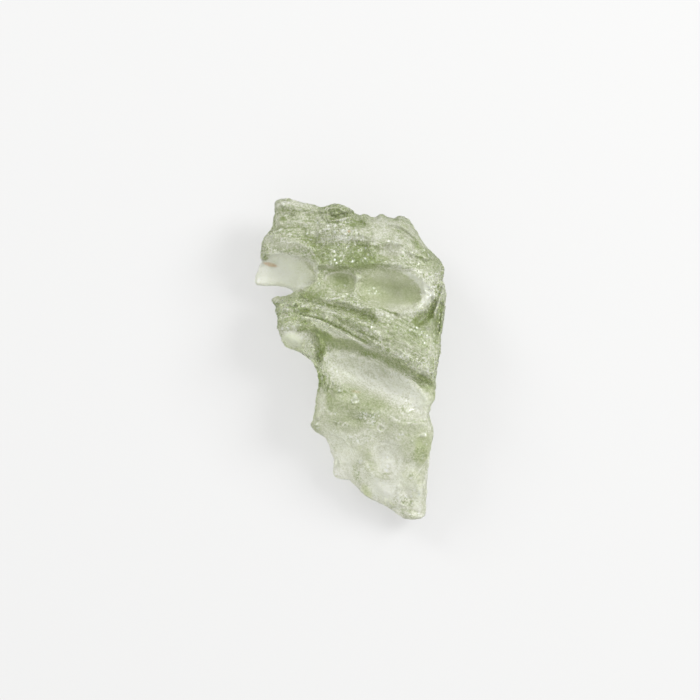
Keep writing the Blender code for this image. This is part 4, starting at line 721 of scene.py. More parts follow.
# Lines: (tone, strength, half width, points)
LINES = [
    (0.08, 1.0, 1.0, [(282, 229.5), (291, 229), (301, 228.3)]),
    (0.08, 0.8, 1.3, [(320, 212), (326, 208), (333, 206.8), (341, 206.8), (348, 210), (353, 214.5), (357, 219)]),
    (0.22, 0.7, 0.9, [(276, 203), (285, 200.5), (293, 202)]), (0.25, 0.7, 0.8, [(275, 211), (276, 221), (274, 229)]),
    (0.30, 0.7, 0.8, [(284, 207), (296, 208), (309, 211), (318, 214)]), (0.30, 0.6, 0.8, [(296, 221), (308, 222.5), (320, 221)]),
    (0.34, 0.6, 0.8, [(384, 236), (392, 240), (401, 248), (410, 250)]), (0.34, 0.6, 0.8, [(372, 240), (380, 243), (390, 244)]),
    (0.80, 0.9, 0.8, [(276, 217), (278, 223)]),
    (0.84, 0.9, 0.9, [(280, 232), (286, 235), (294, 236)]),
    (0.86, 1.0, 0.8, [(333, 222.6), (341, 221.8), (350, 218.5)]),
    (0.30, 0.8, 0.9, [(376, 222), (384, 224)]), (0.32, 0.8, 0.9, [(374, 226), (382, 228.5)]),
    (0.25, 0.9, 1.0, [(388, 230), (396, 232), (403, 232.5), (409, 236.5)]),
    (0.88, 0.9, 0.8, [(394, 234), (399, 236)]), (0.88, 0.9, 0.8, [(394, 237), (400, 239)]),
    (0.85, 0.9, 0.8, [(394, 240.5), (400, 242)]), (0.85, 0.9, 0.8, [(393, 243.5), (399, 245.5)]),
    (0.78, 0.8, 0.8, [(401, 231.5), (407, 235.5), (414, 241)]),
    (0.80, 0.7, 0.8, [(379, 250), (386, 248.4), (393, 248)]),
    (0.22, 0.8, 1.0, [(392, 259), (398, 257.3), (406, 258.5)]),
    (0.66, 0.9, 1.1, [(303, 246), (307.5, 248.6), (311.5, 252), (314.5, 255.8), (316.5, 259.5)]),
    (0.93, 0.9, 2.0, [(268, 257), (274, 254.5), (281, 254.8), (289, 257.2), (297, 260.8), (304, 264.6), (309, 269.5)]),
    (0.64, 0.9, 0.9, [(291, 255.2), (297, 256.6), (303, 259), (308, 261), (313, 264)]),
    (0.40, 0.7, 0.9, [(313.6, 268), (313.8, 276), (313, 283)]),
    (0.88, 0.7, 2.2, [(262, 281.5), (272, 282.5), (283, 282.5), (291, 281)]),
    (0.68, 0.7, 1.0, [(290, 255), (299, 257), (308, 260), (313, 262.5)]),
    (0.62, 0.9, 1.3, [(316.3, 261), (316.3, 268), (316.5, 275), (316.5, 281), (313.5, 285.5)]),
    (0.86, 0.8, 0.7, [(386, 269.6), (394, 269.8), (403, 270.6), (411, 271.4), (419, 271.2)]),
    (0.72, 0.95, 0.9, [(325.3, 284.5), (325.3, 280), (327, 276.5), (331, 273.8), (337, 272.7), (344, 272.6),
                       (350, 274.2), (355.5, 276.6)]),
    (0.80, 0.8, 0.9, [(368, 301.2), (374, 302), (380, 303.2)]),
    (0.78, 0.7, 0.9, [(340, 294.5), (346, 296.6)]),
    (-0.05, 1.0, 1.0, [(375.5, 308.2), (381.5, 308.7), (387, 311), (393, 313.2), (399, 316)]),
    (0.05, 0.9, 1.6, [(312, 301), (317, 303.4), (322, 304.4), (328, 305)]),
    (0.84, 1.0, 1.5, [(317, 304.5), (323, 307.5), (331, 310.5), (340, 314), (349, 317.4), (358, 320)]),
    (0.76, 0.8, 1.6, [(362, 322), (370, 325), (376, 329)]),
    (0.12, 0.8, 0.8, [(349, 317), (356, 320.5), (360, 322)]),
    (-0.25, 1.0, 0.95, [(296, 312), (300, 315), (306, 315.6), (312, 317), (320, 319.4), (330, 323.6),
                      (340, 328), (350, 333.4), (360, 339), (371, 345)]),
    (0.84, 1.0, 0.9, [(301, 316.6), (307, 317), (313, 318.5), (320, 321.5), (330, 326)]),
    (0.80, 0.8, 0.9, [(346, 333.5), (356, 339.5), (366, 346), (372, 349)]),
    (-0.15, 0.9, 0.85, [(356, 330), (364, 333.5), (372, 337.6), (381, 342)]),
    (0.10, 0.8, 0.8, [(346, 316.5), (352, 319.3), (359, 322)]),
    (0.15, 0.7, 0.8, [(330, 308.8), (337, 312.2), (345, 316)]),
    (0.80, 0.8, 0.8, [(372, 345), (377, 343.5), (384, 345.5), (384, 350), (377, 351), (372, 349)]),
    (0.20, 0.8, 0.7, [(375, 346.5), (381, 345.5)]),
    (-0.05, 0.9, 1.1, [(390.5, 357.3), (396, 360.3), (399, 363), (402, 366), (407, 367.5), (411, 370), (415, 373),
                       (420, 375.5), (425, 379), (430, 382)]),
    (0.86, 1.0, 1.1, [(442, 289), (440, 296), (437.5, 304), (435, 311), (433, 318)]),
    (0.86, 0.9, 0.9, [(323.4, 358), (323.6, 364), (325, 370)]),
    (0.80, 0.8, 0.9, [(326, 372), (328.5, 377)]),
    (0.70, 0.7, 0.8, [(319, 366), (320.5, 374)]),
    (0.12, 0.9, 0.8, [(317, 331), (310, 328.5), (303, 329.5), (297, 331.5)]),
    (0.85, 0.8, 0.9, [(281, 327), (288, 328.5), (296, 326), (303, 325)]),
    (0.62, 0.8, 0.8, [(344, 377), (352, 380), (361, 383)]),
    (0.20, 0.75, 0.9, [(386, 411), (392, 416), (398, 419), (406, 420), (416, 421.5), (430, 421)]),
    (0.78, 0.8, 0.8, [(389, 415.5), (396, 419), (402, 421)]),
    (0.85, 0.8, 0.8, [(328, 433.5), (336, 434.8), (344, 438.5), (350, 445)]),
    (0.82, 0.7, 1.2, [(357, 456), (362, 461), (368, 467), (372, 473), (374, 478.5)]),
    (0.90, 0.8, 1.1, [(343, 450), (348, 446)]),
    (0.80, 0.8, 0.7, [(339, 456), (344, 460), (352, 458)]),
    (0.55, 0.8, 0.8, [(372, 447.5), (380, 443), (390, 443), (398, 447)]),
    (0.60, 0.7, 0.7, [(376, 451), (383, 447.5), (391, 448)]),
    (0.15, 0.9, 0.7, [(381, 473.5), (388, 474), (394, 472.5)]),
    (0.82, 0.8, 0.9, [(400, 455), (400.5, 462), (398, 470)]),
    (0.80, 0.9, 0.8, [(429.5, 456), (425, 464), (420, 470), (413, 480)]),
    (0.84, 0.8, 0.9, [(426, 468), (425.5, 484)]),
    (0.45, 0.8, 0.7, [(400, 510.5), (409, 513.5), (418, 515)]),
    (0.74, 0.8, 0.8, [(402, 512.5), (410, 515.6), (418, 517)]),
    (0.45, 0.8, 0.7, [(388, 502.5), (394, 503.5)]),
    (0.85, 0.7, 0.9, [(391, 488), (397, 492), (397, 499)]),
    (0.26, 0.9, 0.9, [(373, 472), (378, 477), (385, 479.5), (392, 478.5)]),
    (0.34, 0.8, 0.8, [(376, 470.5), (381, 474.5), (387, 476.5), (391, 475.5)]),
    (0.36, 0.7, 0.8, [(401, 474), (405, 471), (408, 466)]), (0.86, 0.8, 0.8, [(393, 487), (397, 483), (403, 477)]),
    (0.40, 0.7, 0.8, [(426.5, 462), (426, 470), (425, 478)]), (0.42, 0.7, 0.8, [(398, 508), (406, 511), (414, 513.5)]),
]
# Broad washes over all of that: (u, v, half length, half width, turn, change of tone)
WASH = [
    (379, 256, 8, 9, 0, -0.07), (353, 415, 8, 5, 5, 0.07),
    (397, 346, 14, 6, 15, 0.14), (417, 288, 6, 10, 15, 0.06), (338, 329, 24, 8, 24, 0.06), (415, 378, 15, 7, 28, 0.06),
    (291, 328, 9, 4, 0, 0.11), (281, 267, 17, 8, 0, 0.08), (410, 513, 14, 5, 8, 0.04), (350, 262, 20, 6, 2, -0.05),
    (355, 365, 20, 9, 20, 0.05), (400, 386, 14, 9, 24, 0.05), (381, 262, 10, 5, 15, -0.13), (362, 416, 9, 4, 10, 0.07),
    (345, 256, 34, 13, 3, -0.10), (405, 335, 24, 16, 20, -0.13), (345, 400, 30, 14, 12, -0.09),
    (375, 414, 42, 14, 12, -0.10), (385, 452, 22, 18, 0, -0.08), (413, 442, 14, 16, 0, -0.06),
    (400, 490, 26, 16, 15, -0.05), (310, 228, 34, 9, 8, 0.07), (293, 336, 13, 9, 25, 0.06),
    (398, 384, 20, 12, 22, 0.05), (302, 267, 12, 5, 25, -0.14), (310, 279, 5, 8, 0, -0.10),
    (272, 279, 14, 6, 0, 0.06), (392, 290, 30, 16, 7, -0.05), (378, 297, 20, 8, 12, -0.12),
    (345, 240, 32, 7, 2, 0.20), (350, 263, 26, 7, 2, -0.13), (318, 291, 10, 12, 0, -0.30),
    (397, 329, 18, 14, 10, -0.16), (423, 338, 16, 13, 15, -0.28), (430, 260, 14, 12, 30, -0.24),
    (342, 281, 15, 8, 10, -0.16), (382, 289, 20, 6, 8, -0.10), (385, 279, 18, 5, 5, 0.06),
    (415, 376, 18, 9, 28, 0.09), (290, 314, 13, 12, 0, 0.07), (421.5, 473, 7, 13, 12, -0.24),
    (410, 513, 16, 5, 12, -0.06), (292, 221, 30, 12, 8, -0.05), (352, 257, 24, 10, 2, -0.04),
    (360, 400, 34, 15, 12, -0.12), (395, 413, 30, 11, 18, -0.09), (412, 440, 14, 16, 0, -0.08),
    (345, 421, 20, 10, 0, -0.08), (352, 250, 26, 6, 2, -0.16), (350, 263, 26, 6, 2, -0.07), (382, 289, 20, 6, 8, -0.06),
    (342, 281, 15, 8, 10, -0.09), (318, 291, 10, 12, 0, -0.08), (430, 260, 14, 12, 30, -0.07), (324, 342, 12, 9, 30, -0.07),
    (411, 514, 11, 4.5, 8, -0.34), (370, 463, 5, 10, -20, -0.15), (385, 463, 7, 9, 5, 0.05), (421.5, 473, 7, 13, 12, -0.08),
    (420, 340, 20, 14, 20, 0.06), (338, 329, 26, 7, 26, 0.07), (290, 314, 13, 12, 0, 0.05), (417, 363, 14, 9, 20, 0.06),
    (355, 312, 22, 6, 14, 0.05), (345, 241, 28, 5, 2, 0.09), (415, 376, 16, 8, 28, 0.05), (385, 279, 18, 5, 5, 0.06),
    (408, 408, 7, 5, 20, -0.16), (372, 467, 6, 6, -30, -0.16), (362, 375, 30, 8, 18, 0.03), (372, 251, 9, 10, 0, 0.08), (292, 215, 28, 14, 8, 0.05),
    (408, 333, 26, 16, 20, 0.04), (385, 235, 16, 10, 5, -0.08), (347, 290, 16, 7, 8, -0.08),
]
# Small round pits, painted with a pale rim as highlight and a dark core as shade: (u, v, radius, strength)
RINGS = [
    (355.3, 399.5, 3.4, 0.18), (380.5, 427.8, 3.4, 0.40), (340.6, 424, 2.3, 0.34), (345, 424.6, 2.2, 0.34),
    (430, 370, 2.6, 0.26), (365.8, 421, 2.4, 0.26), (337.8, 389.7, 2.4, 0.24), (331, 265, 3.4, 0.5), (333.5, 255.5, 2.6, 0.42),
    (341, 259, 2.6, 0.24), (353, 262, 2.4, 0.4), (355, 255, 2.4, 0.34), (343, 256, 2.2, 0.36), (323, 256, 2.4, 0.2), (362, 254, 2.4, 0.2),
    (345, 249, 2.6, 0.2), (333, 253, 2.2, 0.22), (404, 356, 3.2, 0.24), (398, 437, 2.4, 0.24),
    (371, 433, 2.2, 0.22), (419, 331, 2.6, 0.22), (428, 340, 2.4, 0.2), (283.5, 219.5, 3.6, 0.16),
    (360, 441, 2.2, 0.24), (341, 461, 2.6, 0.22),
]
# White glints, painted highlights on small pits: (u, v, radius)
GLINTS = [
    (306, 226.5, 1.7), (280.5, 230.7, 1.4), (335, 227, 1.5), (328, 226, 1.1), (334.5, 233, 1.6),
    (330, 236, 1.0), (343, 231.5, 1.2), (346, 235, 1.5), (349, 238, 1.2), (354, 232, 1.0),
    (357, 234.5, 1.2), (331, 265, 2.0), (337, 264, 1.0), (341, 262, 0.9),
    (353, 262.5, 1.5), (365, 259.5, 1.0), (372, 257, 0.9), (311, 241, 0.8),
    (319.5, 284.3, 1.0), (317, 268, 1.0), (417, 265, 0.9), (404, 268.5, 0.9),
    (395, 267, 0.9), (389, 266, 0.9), (383, 268, 0.9), (381, 262, 0.8), (412, 253, 0.9),
    (424, 251, 1.0), (428, 255, 1.1), (422, 252.5, 0.8), (432, 288, 1.4), (435, 287.5, 1.3),
    (436, 295.5, 1.4), (437, 291, 1.0), (374, 288.6, 1.2), (369, 291, 0.9), (376, 292, 0.9),
    (381, 296, 0.9), (372, 294, 0.7), (336, 287, 1.1), (338, 286, 0.8), (345, 286, 1.0),
    (416, 328, 1.1), (414, 331, 1.2), (419, 335, 1.1), (421, 332.5, 0.9), (426, 337, 1.0),
    (424, 343, 1.2), (427, 328, 1.0), (434, 337, 1.1), (440, 344, 1.0), (402, 354, 1.3),
    (406, 356.5, 1.4), (400, 357, 1.1), (408, 359, 1.0), (403, 359, 0.9), (415, 369, 1.2),
    (427, 368, 1.0), (432, 373, 1.0), (364, 345.5, 1.2), (366, 323, 1.1), (372, 322, 1.1),
    (371, 327, 1.0), (387, 317, 1.1), (396, 327.5, 0.9), (328, 358, 1.4), (329, 353.5, 1.0),
    (337, 371.5, 1.1), (353.5, 373, 1.0), (358, 379, 0.9), (345, 376, 0.8), (385.5, 371, 1.3),
    (391, 375, 1.2), (396, 373, 0.9), (322, 378.5, 1.4), (326, 389.5, 0.9), (328, 411, 1.0),
    (339, 390.5, 1.8), (355, 398.5, 2.2), (353, 402, 1.0), (337.5, 412.5, 1.0), (338, 423, 1.0),
    (342, 424.5, 1.0), (347, 424.5, 0.8), (364, 412.5, 1.1), (361, 414.5, 1.2), (365, 418, 1.2),
    (370, 415, 1.1), (373.5, 417, 1.2), (374, 421, 1.1), (372.5, 424, 1.0), (378, 411.5, 1.0),
    (379, 415.5, 1.0), (367.5, 428.5, 1.1), (382, 427.5, 1.4), (408, 411.5, 0.7), (404, 406, 0.9),
    (407, 404, 0.8), (409, 414.5, 0.6), (350.5, 436.5, 1.5), (350, 440, 1.2), (357, 440, 1.3),
    (362, 438.5, 1.2), (364, 442, 1.1), (367, 437, 1.1), (374, 436, 1.1), (364.5, 434, 0.9),
    (393.5, 434, 1.0), (396, 437.5, 1.0), (399, 434, 0.9), (412, 440, 1.0), (419, 428, 0.9),
    (425, 435, 1.3), (416, 434, 0.8), (423, 455, 1.2), (333, 451, 1.3), (341, 461, 1.5),
    (360, 462.5, 1.7), (358, 465, 1.0), (336, 475, 1.0), (387.5, 457, 1.3), (388, 466, 1.6),
    (386.5, 470, 1.9), (411, 478, 1.3), (414, 475.5, 0.9), (412, 497, 1.2), (415, 491, 1.4),
    (418, 493, 1.0), (416, 501, 1.1), (420, 503, 0.9), (412, 504, 0.9), (404, 512.5, 1.0),
    (258, 280, 1.8), (264, 255, 1.0), (305, 255.5, 1.1), (303, 318.5, 1.3), (284, 304, 0.9),
    (294, 304.5, 1.0), (282.5, 328.5, 1.3), (289, 328.5, 1.2), (318, 428, 1.5), (317, 424, 1.0),
    (284, 205, 1.8), (290, 203.5, 1.3), (281, 209, 0.9), (302, 212, 0.8),
]


def blurred(grid, sigma):
    """Gaussian blur of a grid."""
    reach = int(math.ceil(3 * sigma))
    w = np.exp(-0.5 * (np.arange(-reach, reach + 1) / sigma) ** 2)
    w /= w.sum()
    for axis in (0, 1):
        pad = [(0, 0), (0, 0)]
        pad[axis] = (reach, reach)
        g = np.pad(grid, pad, mode="edge")
        n = grid.shape[axis]
        grid = sum(w[k] * (g[k:k + n] if axis == 0 else g[:, k:k + n]) for k in range(2 * reach + 1))
    return grid


def sampled(grid, u, v, u_low, v_low, step):
    """Value of a grid at any points."""
    x = np.clip((u - u_low) / step, 0, grid.shape[1] - 1.001)
    y = np.clip((v - v_low) / step, 0, grid.shape[0] - 1.001)
    i, j = x.astype(int), y.astype(int)
    x, y = x - i, y - j
    return ((grid[j, i] * (1 - x) + grid[j, i + 1] * x) * (1 - y)
            + (grid[j + 1, i] * (1 - x) + grid[j + 1, i + 1] * x) * y)


def broad_tone(u, v):
    """The soft patches of tone."""
    wu = u + 2.0 * noise(u / 14, v / 14, 0.3, 201) + 1.0 * noise(u / 5, v / 5, 0.3, 203)
    wv = v + 2.0 * noise(u / 14, v / 14, 0.8, 202) + 1.0 * noise(u / 5, v / 5, 0.8, 204)
    t = 0.48 + 0.22 * smooth((v - 400) / 90) + 0.06 * smooth((u - 380) / 30)
    for cu, cv, ru, rv, deg, tone, strength, soft in PATCHES:
        soft = max(0.75, 1.9 * soft)
        r = oval(wu, wv, cu, cv, ru, rv, deg)
        t = t + (tone - t) * 0.9 * strength * smooth((1 + soft * 0.6 - r) / (soft * 1.2))
    return t


def edge_distance(u, v, pts):
    """Distance from a closed outline."""
    best = np.full(np.shape(u), 1e9)
    for a, b in zip(pts, pts[1:] + pts[:1]):
        ln = math.hypot(b[0] - a[0], b[1] - a[1])
        eu, ev = (b[0] - a[0]) / ln, (b[1] - a[1]) / ln
        s = np.clip((u - a[0]) * eu + (v - a[1]) * ev, 0, ln)
        best = np.minimum(best, np.hypot(u - a[0] - s * eu, v - a[1] - s * ev))
    return best


def tone_field(u, v):
    """Tone of the upper side, and the part of it that is glints, on the sketch grid."""
    gv, gu = np.mgrid[190:530:1.0, 245:455:1.0]
    grid = blurred(broad_tone(gu.ravel(), gv.ravel()).reshape(gu.shape), 1.3)
    t = sampled(grid, u, v, 245.0, 190.0, 1.0)
    flap = inside(u, v, FLAP_EDGE)
    t = np.where(flap, 0.94 + 0.07 * noise(u / 14, v / 11, 1.1, 205), t)
    wu = u + 0.5 * noise(u / 9, v / 9, 0.3, 201) + 0.25 * noise(u / 3.5, v / 3.5, 0.3, 203)
    wv = v + 0.5 * noise(u / 9, v / 9, 0.8, 202) + 0.25 * noise(u / 3.5, v / 3.5, 0.8, 204)
    for tone, strength, soft, pts in SHAPES:
        near = ((wu > min(p[0] for p in pts) - soft) & (wu < max(p[0] for p in pts) + soft)
                & (wv > min(p[1] for p in pts) - soft) & (wv < max(p[1] for p in pts) + soft))
        d = edge_distance(wu[near], wv[near], pts) * np.where(inside(wu[near], wv[near], pts), 1, -1)
        t[near] = t[near] + (tone - t[near]) * strength * smooth(0.5 + d / soft)
    for cu, cv, ru, rv, deg, change in WASH:
        t = t + change * smooth((1.4 - oval(wu, wv, cu, cv, ru, rv, deg)) / 0.8)
    for tone, strength, half, pts in LINES:
        d, w, _ = along_line(wu, wv, pts)
        a = 0.85 * strength * smooth((1.7 - d / half) / 1.5) * ends(w, 0.15, 0.15)
        t = t + (tone - t) * a
    g = np.zeros(np.shape(u))
    # painted highlight on the rim of each pit and painted shade in its core
    for cu, cv, r, light in RINGS:
        d = np.hypot(wu - cu, wv - cv) * (1 + 0.12 * noise(u / 2.5, v / 2.5, 1.7, 206))
        t = t + light * np.exp(-((d - r) / 1.0) ** 2) - 0.8 * light * np.exp(-(d / (0.42 * r)) ** 2)
    for i, (cu, cv, r) in enumerate(GLINTS):
        c, s = math.cos(2.4 * i), math.sin(2.4 * i)
        near = (np.abs(u - cu) < r * 2) & (np.abs(v - cv) < r * 2)
        d = np.hypot(((wu[near] - cu) * c + (wv[near] - cv) * s) / 1.4, ((wv[near] - cv) * c - (wu[near] - cu) * s) / 0.75)
        g[near] = np.maximum(g[near], (0.6 + 0.4 * abs(math.sin(9.1 * i))) * smooth((1.25 - d / r) / 0.6))
        # painted shade: a dark ring round each glint
        wide = (np.abs(u - cu) < r * 4) & (np.abs(v - cv) < r * 4)
        t[wide] = t[wide] - 0.17 * np.exp(-((np.hypot(u[wide] - cu, v[wide] - cv) / r - 1.7) / 0.6) ** 2)
    return t, g, flap


# Where the skin sparkles: (u, v, half length, half width, turn, density)
SPARKLE = [
    (345, 234, 28, 8, 3, 0.9), (345, 255, 34, 14, 5, 0.26), (395, 265, 28, 5, 2, 0.95), (330, 264, 16, 6, 5, 0.6),
    (397, 238, 8, 9, 10, 0.3), (426, 252, 8, 6, 45, 0.35), (436, 288, 6, 14, 5, 0.9), (425, 293, 6, 12, 15, 1.6), (414, 280, 8, 3.5, 38, 1.3), (374, 291, 8, 5, 30, 1.5), (341, 287.5, 8, 3, 8, 1.2), (343, 294.5, 7, 2.4, 12, 0.9), (374, 302, 8, 1.6, 6, 1.4),
    (418, 331, 16, 8, 15, 0.4), (430, 345, 10, 16, 10, 0.25), (340, 309, 34, 5, 22, 0.6), (362, 320, 14, 5, 25, 0.9),
    (404, 357, 9, 5, 15, 1.0), (385, 330, 22, 12, 25, 0.2), (420, 375, 16, 7, 30, 0.35), (330, 365, 8, 14, 5, 0.6),
    (365, 416, 16, 8, 15, 0.6), (360, 438, 16, 5, -5, 0.7), (363, 415, 5.5, 4.5, 15, 2.2), (373, 418, 4.5, 6.5, 10, 2.2),
    (379, 412.5, 4.5, 3.5, 0, 1.7), (361, 440, 7, 4, -15, 2.2), (350, 437, 3, 4.5, 0, 1.9), (355.5, 399.5, 4, 4.5, 0, 2.0),
    (405, 405, 10, 7, 30, 1.1), (423, 434.5, 4, 2.6, 0, 2.2), (337.5, 390, 2.6, 2.6, 0, 1.8), (341, 424, 6, 3, 0, 1.2),
    (334, 451, 6, 6, 30, 1.2), (360, 463, 4, 4, 0, 1.8), (332, 412, 8, 12, 0, 0.6), (396, 436, 9, 4, 0, 0.8), (338, 424, 8, 3, 0, 0.6),
    (421, 450, 8, 12, 0, 0.6), (413, 497, 10, 12, 5, 0.9), (365, 466, 8, 12, -30, 0.5), (318, 428, 7, 6, 10, 0.7),
    (290, 318, 16, 14, 5, 0.35), (300, 222, 22, 12, 8, 0.3), (315, 345, 8, 14, 10, 0.4), (404, 410, 12, 8, 20, 0.4),
    (384, 232, 10, 10, 10, 0.15), (318, 270, 5, 10, 10, 0.5), (290, 255, 18, 5, 12, 0.3), (405, 514, 18, 5, 12, 0.3),
]


# Where small dark chips stand on paler glass: (u, v, half length, half width, turn, strength)
FLECKS = [
    (356.8, 475, 3.0, 11, -14, 1.0), (407, 502, 7.5, 4.5, 32, 1.0), (421, 454, 9, 6, -35, 0.9), (367, 489, 5, 4, 50, 0.7),
    (411, 477, 3, 5, 20, 0.9), (396, 499, 4, 4, 0, 0.6), (283.3, 220, 3.6, 2.6, 0, 0.9), (392, 507, 5, 3, 15, 0.6),
    (408, 461, 3, 4, 0, 0.8), (420, 492, 4, 9, 5, 0.5), (408, 513, 9, 3, 12, 0.45), (426, 470, 1.6, 14, 4, 0.5),
    (334, 446, 3, 3, 0, 0.6), (333, 473, 2, 3, 0, 0.5),
]


def region(u, v, ovals):
    """Largest value of soft ovals (u, v, half length, half width, turn, value)."""
    best = np.zeros(np.shape(u))
    for cu, cv, ru, rv, deg, value in ovals:
        best = np.maximum(best, value * smooth((1.4 - oval(u, v, cu, cv, ru, rv, deg)) / 0.8))
    return best




# ---- making the mesh -------------------------------------------------------
def rim_distance(u, v):
    best = np.full(u.shape, 1e9)
    for a, b in zip(OUTLINE, OUTLINE[1:] + OUTLINE[:1]):
        ln = math.hypot(b[0] - a[0], b[1] - a[1])
        eu, ev = (b[0] - a[0]) / ln, (b[1] - a[1]) / ln
        s = np.clip((u - a[0]) * eu + (v - a[1]) * ev, 0, ln)
        best = np.minimum(best, np.hypot(u - a[0] - s * eu, v - a[1] - s * ev))
    return best


def both_sides(u, v):
    """Heights of the upper side and the underside once the rim is rounded off."""
    d = rim_distance(u, v) * inside(u, v, OUTLINE)
    wt, wb, pt, pb = rim_widths(u, v)
    hi = top(u, v) + skin(u, v, 1.0)
    lo = np.maximum(bottom(u, v), 0.0)
    hi = np.maximum(hi, lo + 0.9)
    mid = lo + (hi - lo) * rim_height(u, v)
    hi_r = mid + RIM / 2 + (hi - mid - RIM / 2) * rim_curve(d, wt, pt)
    lo_r = mid - RIM / 2 - (mid - RIM / 2 - lo) * rim_curve(d, wb, pb)
    return hi_r, lo_r, d


def outline_blank():
    curve = bpy.data.curves.new("rim", "CURVE")
    curve.dimensions = "2D"
    curve.fill_mode = "BOTH"
    curve.extrude = BLANK / 2
    line = curve.splines.new("POLY")
    line.points.add(len(OUTLINE) - 1)
    for p, (u, v) in zip(line.points, OUTLINE):
        p.co = ((u - U0) * SU / 1000, (V0 - v) * SU / 1000, 0.0, 1.0)
    line.use_cyclic_u = True
    drawn = bpy.data.objects.new("rim", curve)
    drawn.location = (0, 0, BLANK / 2)
    bpy.context.scene.collection.objects.link(drawn)
    bpy.context.view_layer.update()
    graph = bpy.context.evaluated_depsgraph_get()
    mesh = bpy.data.meshes.new_from_object(drawn.evaluated_get(graph))
    mesh.transform(drawn.matrix_world)
    ob = bpy.data.objects.new("moldavite_glass", mesh)
    bpy.context.scene.collection.objects.link(ob)
    bpy.data.objects.remove(drawn, do_unlink=True)
    bm = bmesh.new()
    bm.from_mesh(mesh)
    bmesh.ops.remove_doubles(bm, verts=bm.verts, dist=0.000002)
    bmesh.ops.triangulate(bm, faces=bm.faces)
    bmesh.ops.recalc_face_normals(bm, faces=bm.faces)
    bm.to_mesh(mesh)
    bm.free()
    return ob


def apply_modifier(ob, kind, **values):
    mod = ob.modifiers.new(kind.lower(), kind)
    for key, value in values.items():
        setattr(mod, key, value)
    graph = bpy.context.evaluated_depsgraph_get()
    mesh = bpy.data.meshes.new_from_object(ob.evaluated_get(graph))
    ob.modifiers.clear()
    old = ob.data
    ob.data = mesh
    bpy.data.meshes.remove(old)


def points(mesh):
    co = np.empty(len(mesh.vertices) * 3, np.float32)
    mesh.vertices.foreach_get("co", co)
    return co.reshape(-1, 3).astype(float)


def normals(mesh):
    no = np.empty(len(mesh.vertices) * 3, np.float32)
    mesh.vertices.foreach_get("normal", no)
    return no.reshape(-1, 3).astype(float)


def set_points(mesh, co):
    mesh.vertices.foreach_set("co", co.astype(np.float32).ravel())
    mesh.update()


def sketch(co):
    """Sketch coordinates and height in mm of points in metres."""
    return co[:, 0] * 1000 / SU + U0, V0 - co[:, 1] * 1000 / SU, co[:, 2] * 1000


def build_stone():
    ob = outline_blank()
    apply_modifier(ob, "REMESH", mode="VOXEL", voxel_size=VOXEL_1)
    co = points(ob.data)
    u, v, z = sketch(co)
    hi, lo, _ = both_sides(u, v)
    t = np.clip(z / (BLANK * 1000), 0, 1)
    co[:, 2] = (lo + (hi - lo) * t) / 1000
    set_points(ob.data, co)
    apply_modifier(ob, "REMESH", mode="VOXEL", voxel_size=VOXEL_2)

    # put the points of the upper side back on its exact relief
    co, no = points(ob.data), normals(ob.data)
    u, v, z = sketch(co)
    hi, lo, d = both_sides(u, v)
    near = smooth((no[:, 2] - 0.25) / 0.3) * (np.abs(z - hi) < 0.22)
    co[:, 2] = (z + (hi - z) * near) / 1000
    set_points(ob.data, co)

    # fine relief all round, pushed in and out along the surface
    co, no = points(ob.data), normals(ob.data)
    u, v, z = sketch(co)
    k = smooth_field(u, v) * smooth((no[:, 2] - 0.1) / 0.3)
    fine = fine_relief(u, v, z / SU, no, k)
    rest = np.where(z < 0.05, 0.0, 1.0)
    co += no * (fine * rest / 1000)[:, None]
    co[:, 2] = np.maximum(co[:, 2], 0.0)
    set_points(ob.data, co)

    # the underside can be coarser
    tris = sum(len(p.vertices) - 2 for p in ob.data.polygons)
    if tris > MAX_TRIANGLES:
        group = ob.vertex_groups.new(name="underside")
        no = normals(ob.data)
        w = smooth((0.15 - no[:, 2]) / 0.5)
        for i in np.nonzero(w > 0.02)[0]:
            group.add([int(i)], float(w[i]), "REPLACE")
        apply_modifier(ob, "DECIMATE", ratio=MAX_TRIANGLES / tris, vertex_group="underside",
                       vertex_group_factor=1.0)
        ob.vertex_groups.clear()
    ob.data.shade_smooth()
    return ob


def fine_relief(u, v, w, no, k):
    """Etching a tenth of a millimetre deep and less, mm."""
    a = fractal(u / 7, v / 7, w / 7, 101, 3)
    b = noise(u / 3.2, v / 3.2, w / 3.2, 102)
    side = 1 - smooth((np.abs(no[:, 2]) - 0.25) / 0.35)
    flow = noise(u / 40, v / 40, w / 5.5, 103) * side
    return (1 - 0.8 * k) * (0.035 * a + 0.03 * b) + 0.10 * flow + 0.05 * side * a


def hollowness(mesh, rounds):
    """How far each point lies under the smoothed surface round it, mm, after each number of rounds."""
    n = len(mesh.vertices)
    pairs = np.empty(len(mesh.edges) * 2, np.int32)
    mesh.edges.foreach_get("vertices", pairs)
    a, b = pairs[0::2], pairs[1::2]
    count = np.bincount(a, minlength=n) + np.bincount(b, minlength=n)
    co, no = points(mesh), normals(mesh)
    now, found = co.copy(), []
    for step in range(1, max(rounds) + 1):
        total = np.stack([np.bincount(a, now[b, i], n) + np.bincount(b, now[a, i], n) for i in range(3)], 1)
        now = 0.5 * now + 0.5 * total / count[:, None]
        if step in rounds:
            found.append(((now - co) * no).sum(1) * 1000)
    return found


